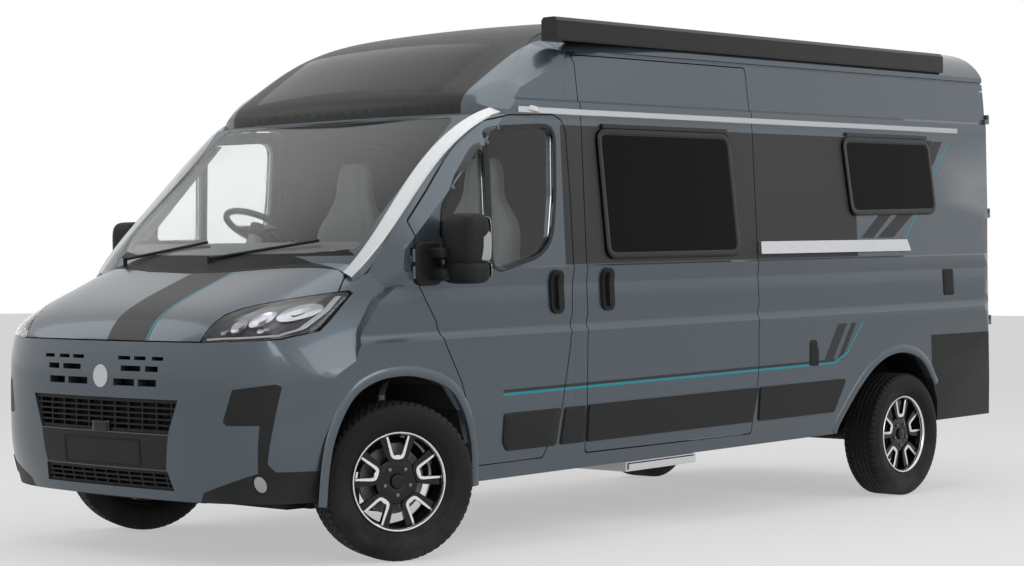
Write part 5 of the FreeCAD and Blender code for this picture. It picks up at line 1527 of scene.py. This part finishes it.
@dataclass
class Flank:
    """Details of one side: window frames and seals, strips that carry a painted highlight, arch lips, rub
    strips and flaps.

    Outlines are level (y, z), the pillar's two edges (x, y, z), and the lip's section (reach, lift).
    """

    side: Side
    living_window: Table = ((-718, 1299), (366, 1299), (307, 1927), (-763, 1927))
    rear_window: Table = ((1414, 1502), (2310, 1512), (2250, 1939), (1348, 1937))
    fuel_flap: Table = (
        (992.0, 694.0), (1082.0, 692.0), (1084.0, 760.0), (1060.0, 834.0), (992.0, 834.0),
    )
    service_flap: Table = (
        (2366.0, 1036.0), (2484.0, 1036.0), (2484.0, 1190.0), (2366.0, 1190.0),
    )
    door_strip: Table = (
        (-1462.0, 606.0), (-1059.0, 606.0), (-1086.0, 430.0), (-1440.0, 430.0), (-1466.0, 470.0),
    )
    post_strip: Table = ((-1033.0, 606.0), (-881.0, 606.0), (-881.0, 430.0), (-1060.0, 430.0))
    lip_section: Table = (
        (-1.0, -16.0), (0.0, 2.0), (3.0, 5.0), (10.0, 6.0), (30.0, 5.0), (44.0, 1.6), (47.0, -1.0),
    )
    ledge_line: Table = ((-1310.0, 2001.0), (-893.0, 1999.0), (2590.0, 1999.0))
    door_glass: Table = (
        (-1524, 1262), (-1212, 1328), (-1120, 1400), (-1085, 1600), (-1070, 1890), (-1110, 1922),
        (-1520, 1898),
    )
    quarter_glass: Table = (
        (-1560, 1420), (-1850, 1420), (-1836, 1517), (-1830, 1550), (-1721, 1680), (-1600, 1800),
        (-1560, 1830),
    )
    pillar_inner: Table = (
        (840, -2292, 1262), (840, -2190, 1348), (842, -2060, 1494), (838, -1906, 1637),
        (835, -1753, 1773), (832, -1605, 1905), (862, -1510, 1964), (905, -1430, 2000),
        (945, -1350, 2014), (962, -1280, 2016), (970, -1180, 2015),
    )
    pillar_outer: Table = (
        (884, -2285, 1240), (906, -2160, 1350), (916, -2039, 1486), (914, -1905, 1603),
        (904, -1740, 1747), (896, -1597, 1873), (918, -1500, 1932), (945, -1425, 1968),
        (970, -1345, 1984), (980, -1280, 1986), (986, -1180, 1985),
    )

    @property
    def view(self) -> View:
        """The direction that the side's plan points drop along."""
        return View.LEFT_SIDE if self.side is Side.LEFT else View.RIGHT_SIDE

    def build(self, finishes: Finishes) -> None:
        """Build the side's details.

        Args:
            finishes: The vehicle's finishes.
        """
        tag = self.side.word
        nodes = [f"side_panel_{tag}", f"front_door_{tag}", "cab_frame", "roof", "front_wings"]
        if self.side is Side.LEFT:
            nodes.append("sliding_door")
        skin = Relief(Skin(*nodes), self.view)
        windows = Relief(Skin("side_windows"), self.view)
        frames = Shell()
        for corners in (self.living_window, self.rear_window):
            outline = rounded(corners, 70.0, 160)
            frames.add(
                windows.ring(outline, [0.6, 1.2, 9.0, 26.0, 30.0, 31.0], [-9.0, 0.9, 2.2, 2.2, 0.9, -0.5]),
                Ring.CLOSED
            )
            low, high = outline.min(0), outline.max(0)
            hinge = np.array([(low[0] + 40.0, high[1] + 12.0), (high[0] - 70.0, high[1] + 12.0)])
            rail = Relief(skin.skin, self.view).strip(resample(hinge, 40), 22.0, 15.0)
            frames.tube(rail)
        frames.build(f"window_frames_{tag}", finishes.gloss_black, "van_body", "gloss_black", 40.0)
        door = Shell()
        for corners, radius in ((self.door_glass, 60.0), (self.quarter_glass, 20.0)):
            outline = rounded(corners, radius, 120)
            door.add(skin.ring(outline, [-20.0, -19.0, -1.0, 0.5], [-1.0, 3.6, 3.6, -12.0]), Ring.CLOSED)
        door.build(f"door_seal_{tag}", finishes.gloss_black, f"front_door_{tag}", "gloss_black", 40.0)
        self.build_silver(finishes, skin)
        self.build_arches(finishes, skin)
        self.build_strips(finishes, skin)
        black = (finishes.black_plastic, "van_body", "black_plastic", 35.0)
        if self.side is Side.LEFT:
            profile = [(0.0, 3.0), (0.6, 3.0), (0.93, 2.6), (0.97, 1.6), (1.0, -1.0)]
            skin.plate("fuel_flap", rounded(self.fuel_flap, 12.0, 64), profile, black)
        profile = [(0.0, 6.0), (0.6, 6.0), (0.9, 5.4), (0.96, 3.4), (1.0, -1.0)]
        skin.plate(f"service_flap_{tag}", rounded(self.service_flap, 10.0, 64), profile, black)

    def build_silver(self, finishes: Finishes, skin: Relief) -> None:
        """Build the pale strip over the windows and the broad one up the windscreen pillar: a painted
        highlight where the ledge and the pillar catch the light.

        Args:
            finishes: The vehicle's finishes.
            skin: The side's relief.
        """
        tag = self.side.word
        # pale strip along the line over the windows: painted highlight where the side's ledge catches the
        # light
        over = skin.strip(resample(np.array(self.ledge_line), 200), 29.0, 3.0)
        Shell().tube(over).build(f"ledge_strip_{tag}", finishes.silver, "van_body", "aluminium")
        # broad pale strip up the windscreen pillar: painted highlight where the pillar catches the light
        inner, outer = (self.smooth_line(edge) for edge in (self.pillar_inner, self.pillar_outer))
        across = outer - inner
        out = np.cross(np.gradient(inner, axis=0), across)
        out /= np.linalg.norm(out, axis=1, keepdims=True) * np.sign(out[:, :1])
        section = [(0.0, -32.0), (0.0, 12.0), (0.08, 17.0), (0.92, 17.0), (1.0, 12.0), (1.0, -32.0)]
        rings = np.stack([inner + share * across + lift * out for share, lift in section], 1)
        Shell().tube(to_world(rings * [self.side.value, 1.0, 1.0])).build(
            f"pillar_strip_{tag}", finishes.silver, "van_body", "aluminium"
        )

    @staticmethod
    def smooth_line(corners: Table, degree: int = 4, steps: int = 72) -> Points:
        """Return a line near some corners in space: each coordinate a polynomial of the share of the way.

        Args:
            corners: The corners, (x, y, z).
            degree: The polynomials' degree.
            steps: Points on the line.

        Returns:
            The line's points, (steps, 3).
        """
        rough = np.array(corners)
        share = np.concatenate([[0.0], np.cumsum(np.linalg.norm(np.diff(rough, axis=0), axis=1))])
        share = share / share[-1] * 2.0 - 1.0
        even = np.linspace(-1.0, 1.0, steps)
        return np.stack([np.polyval(np.polyfit(share, rough[:, k], degree), even) for k in range(3)], 1)

    def build_arches(self, finishes: Finishes, skin: Relief) -> None:
        """Build the rounded lips of both wheel openings, which follow them on the skin."""
        for place, hub, corners in (
            ("front", (FRONT_AXLE, HUB_HEIGHT), FRONT_ARCH), ("rear", (REAR_AXLE - 1.2, 253.8), REAR_ARCH)
        ):
            rough = np.array(corners) + np.array(hub)
            for _ in range(3):
                cut = np.stack(
                    [0.75 * rough[:-1] + 0.25 * rough[1:], 0.25 * rough[:-1] + 0.75 * rough[1:]], 1
                ).reshape(-1, 2)
                rough = np.vstack([rough[:1], cut, rough[-1:]])
            line = resample(rough, 96)
            along = np.gradient(line, axis=0)
            along /= np.linalg.norm(along, axis=1, keepdims=True)
            out = np.stack([-along[:, 1], along[:, 0]], 1)
            reach, lift = np.array(self.lip_section).T
            plan = line[:, None] + out[:, None] * reach[None, :, None]
            lip = to_world(skin.skin.drop(plan, skin.view, lift[None, :]))
            Shell().add(lip).build(
                f"arch_lip_{place}_{self.side.word}", finishes.lacquer, "van_body", "body_paint", 50.0
            )

    def build_strips(self, finishes: Finishes, skin: Relief) -> None:
        """Build the rub strips of the cab door and of the pillar behind it.

        Args:
            finishes: The vehicle's finishes.
            skin: The side's relief.
        """
        tag = self.side.word
        profile = [(0.0, 12.0), (0.6, 12.0), (0.93, 11.0), (0.98, 7.0), (1.0, -1.0)]
        dress = (finishes.dark_trim, f"front_door_{tag}", "black_plastic", 40.0)
        skin.plate(f"rub_strip_door_{tag}", rounded(self.door_strip, 16.0, 120), profile, dress)
        dress = (finishes.dark_trim, "van_body", "black_plastic", 40.0)
        skin.plate(f"rub_strip_post_{tag}", rounded(self.post_strip, 10.0, 96), profile, dress)


@dataclass
class Corner:
    """The skin between the roof cap, the roof and the cab frame, over one front corner, as level (x, y)."""

    side: Side
    middle: tuple = (822.0, -860.0)
    lowest: float = 2150.0
    smoothing: float = 0.02
    outline: Table = (
        (700, -780), (740, -855), (755, -930), (785, -995), (800, -1065), (830, -1125), (850, -1158),
        (878, -1160), (900, -1148), (912, -1135), (914, -1040), (925, -950), (925, -825), (905, -890),
        (890, -870), (875, -790), (862, -695), (845, -672), (815, -622), (790, -572), (740, -572),
        (710, -552), (697, -600),
    )

    def build(self, finishes: Finishes) -> None:
        """Build the skin as a height over (x, y): z = a + b x + c y + sum of w r^2 log r.

        The weights w and the plane a, b, c make it pass through the skin round the opening.

        Args:
            finishes: The vehicle's finishes.
        """
        skin = Skin("roof", "roof_cap", "cab_frame")
        edge = resample(np.array(self.outline, float), 150, True)
        ring = np.concatenate([edge - inward(edge) * reach for reach in (14.0, 34.0)])
        known = skin.drop(ring * [self.side.value, 1.0], View.TOP)[:, 2]
        good = known > self.lowest
        ring, known = ring[good], known[good]

        def pull(points: Points) -> Points:
            """Return r^2 log r from each point to each ring point, and the plane's columns."""
            square = ((points[:, None] - ring[None]) ** 2).sum(-1) / 1e4
            return np.hstack([square * np.log(square + 1e-9), np.ones((len(points), 1)), points / 1e3])

        left = pull(ring)
        system = np.zeros((len(ring) + 3, len(ring) + 3))
        system[: len(ring)] = left
        system[len(ring) :, : len(ring)] = left[:, len(ring) :].T
        system[: len(ring), : len(ring)] += np.eye(len(ring)) * self.smoothing
        weights = np.linalg.solve(system, np.concatenate([known, np.zeros(3)]))
        outer = edge - inward(edge) * 12.0
        middle = np.array(self.middle)
        plan = middle + np.linspace(0.0, 1.0, 24)[None, :, None] * (outer - middle)[:, None]
        height = (pull(plan.reshape(-1, 2)) @ weights).reshape(plan.shape[:2]) - 1.5
        level = np.concatenate([plan * [self.side.value, 1.0], height[..., None]], -1)
        patch = Shell().add(to_world(level), Ring.CLOSED, flip=self.side is Side.LEFT)
        patch.build(f"roof_corner_{self.side.word}", finishes.cap, "van_body", "body_paint", 60.0)


@dataclass
class Mirror:
    """A door mirror: tall grained head with its lower shell, two arms, foot, sail, glass and repeater.

    Forms are rounded boxes: level middle, half size and how square they are.
    """

    side: Side
    forms: Table = (
        ((1154.0, -1853.0, 1400.0), (94.0, 78.0, 118.0), 4.4),
        ((1150.0, -1850.0, 1262.0), (98.0, 76.0, 54.0), 3.8),
        ((1066.0, -1930.0, 1344.0), (58.0, 40.0, 26.0), 4.0),
        ((1066.0, -1920.0, 1252.0), (62.0, 44.0, 30.0), 4.0),
        ((1022.0, -1960.0, 1298.0), (20.0, 86.0, 96.0), 4.6),
    )
    glass: Table = (
        ((1156.0, -1775.0, 1412.0), (80.0, 3.0, 92.0), 6.0),
        ((1156.0, -1775.0, 1268.0), (80.0, 3.0, 34.0), 6.0),
    )
    repeater: Table = (((1226.0, -1818.0, 1374.0), (22.0, 34.0, 66.0), 6.0),)
    sail: Table = (
        (-2030.0, 1238.0), (-1880.0, 1236.0), (-1878.0, 1390.0), (-1935.0, 1402.0), (-2020.0, 1330.0),
    )

    def head(self, middle: tuple, reach: tuple, power: float, steps: tuple[int, int] = (48, 32)) -> Points:
        """Return a rounded box: each coordinate is sign(c) |c|^(2/power) times its reach, c from a sphere.

        Args:
            middle: The head's middle, level.
            reach: Half its size along each axis.
            power: How square it is; 2 is an ellipsoid.
            steps: Points round and up.

        Returns:
            The grid in metres, closed along its first direction.
        """
        form = squared_ball(power, steps) * np.array(reach) + np.array(middle)
        form[..., 0] *= self.side.value
        return to_world(form)

    def join(self, forms: Table) -> Shell:
        """Gather several rounded boxes, each a middle, a reach and a power, into one shell.

        Args:
            forms: Rows of a middle, a reach and a power.

        Returns:
            The shell.
        """
        shell = Shell()
        for middle, reach, power in forms:
            shell.add(self.head(middle, reach, power), Ring.CLOSED)
        return shell

    def build(self, finishes: Finishes) -> None:
        """Build the mirror's pieces.

        Args:
            finishes: The vehicle's finishes.
        """
        tag = self.side.word
        body = f"front_door_{tag}"
        piece = self.join(self.forms).build(
            f"mirror_{tag}_head", finishes.black_plastic, body, "black_plastic", 60.0
        )
        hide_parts(f"mirror_{tag}")
        self.build_sail(finishes, body)
        glass = self.join(self.glass)
        glass.build(f"mirror_{tag}_glass", finishes.reflector, body, "aluminium", 60.0)
        lens = self.join(self.repeater)
        lens.build(f"mirror_{tag}_repeater", finishes.glow, body, "lamp_clear", 60.0)

    def build_sail(self, finishes: Finishes, body: str) -> None:
        """Build the black sail panel that fills the door window's front corner.

        Args:
            finishes: The vehicle's finishes.
            body: The body that it rides on.
        """
        view = View.LEFT_SIDE if self.side is Side.LEFT else View.RIGHT_SIDE
        relief = Relief(Skin(body), view)
        profile = [(0.0, 9.0), (0.5, 9.0), (0.85, 8.0), (0.95, 5.0), (1.0, -1.0)]
        dress = (finishes.black_plastic, body, "black_plastic", 40.0)
        relief.plate(f"mirror_{self.side.word}_sail", rounded(self.sail, 18.0, 80), profile, dress)


@dataclass
class Cab:
    """What shows through the glass: padded seats and the pleated blinds."""

    seat_x: float = 450.0
    cushion: tuple = ((-1232.0, 896.0), (240.0, 255.0, 68.0), 3.4, 22.0)
    blind_foot: tuple = (838.0, -2080.0, 1420.0)
    blind_rise: tuple = (-26.0, 470.0, 470.0)
    blind_width: float = 70.0
    fold_depth: float = 5.0

    def pad(
        self, middle: tuple, reach: tuple, power: float, bolster: float, steps: tuple[int, int] = (64, 44)
    ) -> Points:
        """Return a crowned pad: a rounded box whose face swells at its sides and sinks at its sewn channels.

        Each coordinate is sign(c) |c|^(2/power) times its reach; the face's reach grows by the bolster
        times (x / reach)^4 and falls by 9 mm in two narrow channels across x.

        Args:
            middle: The pad's middle, level.
            reach: Half its size along each axis.
            power: How square it is.
            bolster: How far the sides stand over the middle, towards -y or +z.
            steps: Points round and up.

        Returns:
            The grid in metres, closed along its first direction.
        """
        form = squared_ball(power, steps)
        across = np.abs(form[..., 0])
        swell = bolster * across**4 - 9.0 * np.exp(-(((across - 0.58) / 0.03) ** 2))
        axis = 2 if reach[2] < reach[1] else 1
        way = 1.0 if axis == 2 else -1.0
        facing = np.clip(form[..., axis] * way, 0, 1)
        out = form * np.array(reach) + np.array(middle)
        out[..., axis] += way * facing * swell
        return to_world(out)

    def back(self, x: float, steps: tuple[int, int] = (72, 60)) -> Points:
        """Return a seat back with its headrest in one form.

        Height runs from 930 to 1800; half the width falls smoothly from the shoulders to the headrest, a
        squared ring of the ball's cosine gives the section, and side bolsters stand forward by |x|^3.

        Args:
            x: The seat's middle.
            steps: Points round and up.

        Returns:
            The grid in metres, closed along its first direction.
        """
        around = np.linspace(0, 2 * math.pi, steps[0], endpoint=False)[:, None]
        up = np.linspace(-math.pi / 2, math.pi / 2, steps[1])[None, :]
        power = 2.0 / 3.4
        across = np.sign(np.cos(around)) * np.abs(np.cos(around)) ** power
        deep = np.sign(np.sin(around)) * np.abs(np.sin(around)) ** power
        close = np.cos(up) ** 0.32
        z = 1365.0 + 435.0 * np.sign(np.sin(up)) * np.abs(np.sin(up)) ** 0.72
        fall = np.clip((z - 1430.0) / 210.0, 0.0, 1.0)
        half = 228.0 - 104.0 * fall * fall * (3.0 - 2.0 * fall) - 14.0 * np.clip(
            (1130.0 - z) / 200.0, 0.0, 1.0
        )
        swell = 34.0 * np.abs(across) ** 3 * (1.0 - fall) - 8.0 * np.exp(
            -(((np.abs(across) - 0.6) / 0.035) ** 2)
        )
        waist = -10.0 * np.exp(-(((z - 1545.0) / 14.0) ** 2))
        front = np.clip(-deep, 0.0, 1.0)
        depth = (60.0 - 12.0 * fall) * close
        y = -982.0 + depth * deep - front * (swell + waist) * close + 0.06 * (z - 1365.0)
        return to_world(np.stack(np.broadcast_arrays(x + half * close * across, y, z), -1))

    def build(self, finishes: Finishes) -> None:
        """Build both seats and the two blinds.

        Args:
            finishes: The vehicle's finishes.
        """
        for side in Side:
            x = self.seat_x * side.value
            place, *form = self.cushion
            cushion = Shell().add(self.pad((x, *place), *form), Ring.CLOSED)
            back = Shell().add(self.back(x), Ring.CLOSED)
            for part, shell in (("cushion", cushion), ("back", back)):
                shell.build(f"seat_{side.word}_{part}", finishes.cloth, "van_body", "seat_cloth", 70.0)
            if side is Side.LEFT:
                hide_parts("cab_seats")
        folds = Shell()
        for side in Side:
            u = np.linspace(0, 1, 61)[:, None]
            v = np.linspace(0, 1, 13)[None, :]
            x, y, z = (foot + rise * v for foot, rise in zip(self.blind_foot, self.blind_rise))
            x = (x + self.fold_depth * (np.arange(61) % 2)[:, None]) * side.value
            y = y + self.blind_width * u
            grid = to_world(np.stack(np.broadcast_arrays(x, y, z), -1))
            folds.add(grid)
        folds.build("windscreen_blind", finishes.blind, "van_body", "trim_grey", 20.0)


@dataclass
class Studio:
    """Pale floor, white surroundings, soft lamps and the photograph's camera."""

    camera_at: tuple = (7.86299, -9.07355, 1.22927)
    yaw: float = 41.816
    pitch: float = 0.0751
    roll: float = 0.0264
    focal_pixels: float = 2242.47
    frame_pixels: float = 1024.0
    lamps: Table = (
        ((6.5, -6.0, 4.5), 3.6, 120.0), ((9.0, 3.0, 5.5), 4.0, 170.0), ((-5.0, -5.0, 5.0), 4.0, 60.0),
        ((0.0, 0.0, 8.5), 6.0, 140.0),
    )

    def build(self) -> None:
        """Build everything around the vehicle."""
        self.build_camera()
        self.build_floor()
        self.build_world()
        for number, (place, width, power) in enumerate(self.lamps):
            self.build_lamp(f"soft_lamp_{number}", place, width, power)

    def build_camera(self) -> None:
        """Set the camera that saw the photograph: looking along (-sin yaw, cos yaw), a little down."""
        data = bpy.data.cameras.new("photo_camera")
        data.sensor_width = 36.0
        data.lens = self.focal_pixels / self.frame_pixels * 36.0
        data.clip_end = 200.0
        camera = stand_object("photo_camera", data)
        yaw, pitch, roll = (math.radians(a) for a in (self.yaw, self.pitch, self.roll))
        ahead = np.array(
            [-math.sin(yaw) * math.cos(pitch), math.cos(yaw) * math.cos(pitch), -math.sin(pitch)]
        )
        right = np.cross(ahead, [0, 0, 1.0])
        right /= np.linalg.norm(right)
        up = np.cross(right, ahead)
        right, up = math.cos(roll) * right + math.sin(roll) * up, math.cos(roll) * up - math.sin(roll) * right
        columns = np.stack([right, up, -ahead], 1)
        matrix = Matrix(columns.tolist()).to_4x4()
        matrix.translation = self.camera_at
        camera.matrix_world = matrix
        bpy.context.scene.camera = camera

    @staticmethod
    def seen(w: Wiring) -> Socket:
        """Mask the rays that see the studio: camera, glossy and transmission rays."""
        path = w.node("ShaderNodeLightPath", {}).outputs
        return w.math(
            "MAXIMUM", path["Is Camera Ray"],
            w.math("MAXIMUM", path["Is Glossy Ray"], path["Is Transmission Ray"])
        )

    def white_beyond(self, tree: bpy.types.NodeTree, plain: Socket, out: Socket, share: float) -> None:
        """Show plain white to camera, glossy and transmission rays, and the given shader to the rest.

        Args:
            tree: The node tree.
            plain: The shader for every other ray.
            out: The socket that takes the result.
            share: How white it shows.
        """
        w = Wiring(tree)
        seen = self.seen(w)
        white = w.node("ShaderNodeEmission", {"Color": (1.0, 1.0, 1.0, 1.0), "Strength": 1.0}).outputs[0]
        mixed = w.node("ShaderNodeMixShader", {0: w.math("MULTIPLY", seen, share), 1: plain, 2: white})
        w.feed(out, mixed.outputs[0])

    def build_floor(self) -> None:
        """Lay a wide pale floor that keeps the vehicle's shadow."""
        mesh = bpy.data.meshes.new("studio_floor")
        mesh.from_pydata([(-60, -60, 0), (60, -60, 0), (60, 60, 0), (-60, 60, 0)], [], [(0, 1, 2, 3)])
        floor = stand_object("studio_floor", mesh)
        material = bpy.data.materials.new("studio_floor")
        material.use_nodes = True
        surface = material.node_tree.nodes["Principled BSDF"]
        surface.inputs["Base Color"].default_value = (0.86, 0.86, 0.86, 1.0)
        surface.inputs["Roughness"].default_value = 0.9
        out = material.node_tree.nodes["Material Output"].inputs["Surface"]
        self.white_beyond(material.node_tree, surface.outputs[0], out, 0.45)
        mesh.materials.append(material)

    def build_world(self) -> None:
        """Surround the scene with soft white."""
        world = bpy.data.worlds.new("studio_world")
        bpy.context.scene.world = world
        world.use_nodes = True
        tree = world.node_tree
        background = tree.nodes["Background"]
        background.inputs["Color"].default_value = (1.0, 1.0, 1.0, 1.0)
        background.inputs["Strength"].default_value = 0.36
        w = Wiring(tree)
        seen = self.seen(w)
        white = w.node("ShaderNodeBackground", {"Color": (1.0, 1.0, 1.0, 1.0), "Strength": 1.0}).outputs[0]
        mixed = w.node("ShaderNodeMixShader", {0: seen, 1: background.outputs[0], 2: white})
        w.feed(tree.nodes["World Output"].inputs["Surface"], mixed.outputs[0])

    def build_lamp(self, name: str, place: tuple, width: float, power: float) -> None:
        """Hang a soft square lamp that faces the vehicle's middle.

        Args:
            name: The lamp's name.
            place: Where it hangs, in metres.
            width: Its side in metres.
            power: Its power in watts.
        """
        data = bpy.data.lights.new(name, "AREA")
        data.size = width
        data.energy = power
        lamp = stand_object(name, data)
        back = np.array(place) - np.array([0.0, 0.0, 1.2])
        back = back / np.linalg.norm(back)
        side = np.cross([0.0, 1.0, 0.0] if abs(back[2]) > 0.95 else [0.0, 0.0, 1.0], back)
        side /= np.linalg.norm(side)
        matrix = Matrix(np.stack([side, np.cross(back, side), back], 1).tolist()).to_4x4()
        matrix.translation = place
        lamp.matrix_world = matrix


class Camper:
    """The whole vehicle: CAD nodes with their finishes, and every built piece."""

    def __init__(self) -> None:
        """Build the finishes."""
        self.finishes = Finishes()

    def dress_nodes(self) -> None:
        """Give every CAD node its finish."""
        for name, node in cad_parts.items():
            node.data.materials.clear()
            node.data.materials.append(self.finishes.for_node(name))
            log.info("%s: %s", name, node.data.materials[0].name)

    def smooth_panels(self) -> None:
        """Stand smooth copies in for the painted panels and the roof cap."""
        f = self.finishes
        fixed = [
            "cab_frame", "side_panel_left", "side_panel_right", "front_wings", "front_bumper",
            "sliding_door"
        ]
        for node in fixed:
            smooth_copy(node, f.lacquer, "van_body")
        for node in ("bonnet", "front_door_left", "front_door_right", "rear_door_left", "rear_door_right"):
            smooth_copy(node, f.lacquer, node)
        smooth_copy("rear_bumper", f.dark_trim, "van_body", 40.0)
        smooth_copy("roof_cap", f.cap, "van_body")
        smooth_copy("roof", f.cap, "van_body")

    def build(self) -> None:
        """Build the vehicle in order."""
        self.dress_nodes()
        self.smooth_panels()
        for place, steered in (("front", True), ("rear", False)):
            for side in Side:
                Wheel(place, side, steered).build(self.finishes)
        lamps = Skin("headlamps")
        lenses = [Headlamp(side).build(self.finishes, lamps) for side in Side]
        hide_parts("headlamps")
        Nose().build(self.finishes)
        for side in Side:
            Flank(side).build(self.finishes)
            Mirror(side).build(self.finishes)
            Corner(side).build(self.finishes)
        Cab().build(self.finishes)


def main() -> None:
    """Build the studio and the vehicle."""
    logging.basicConfig(level=logging.INFO, format="%(name)s %(message)s")
    bpy.context.scene.view_settings.view_transform = "Standard"
    Studio().build()
    Camper().build()


if __name__ == "__main__":
    main()
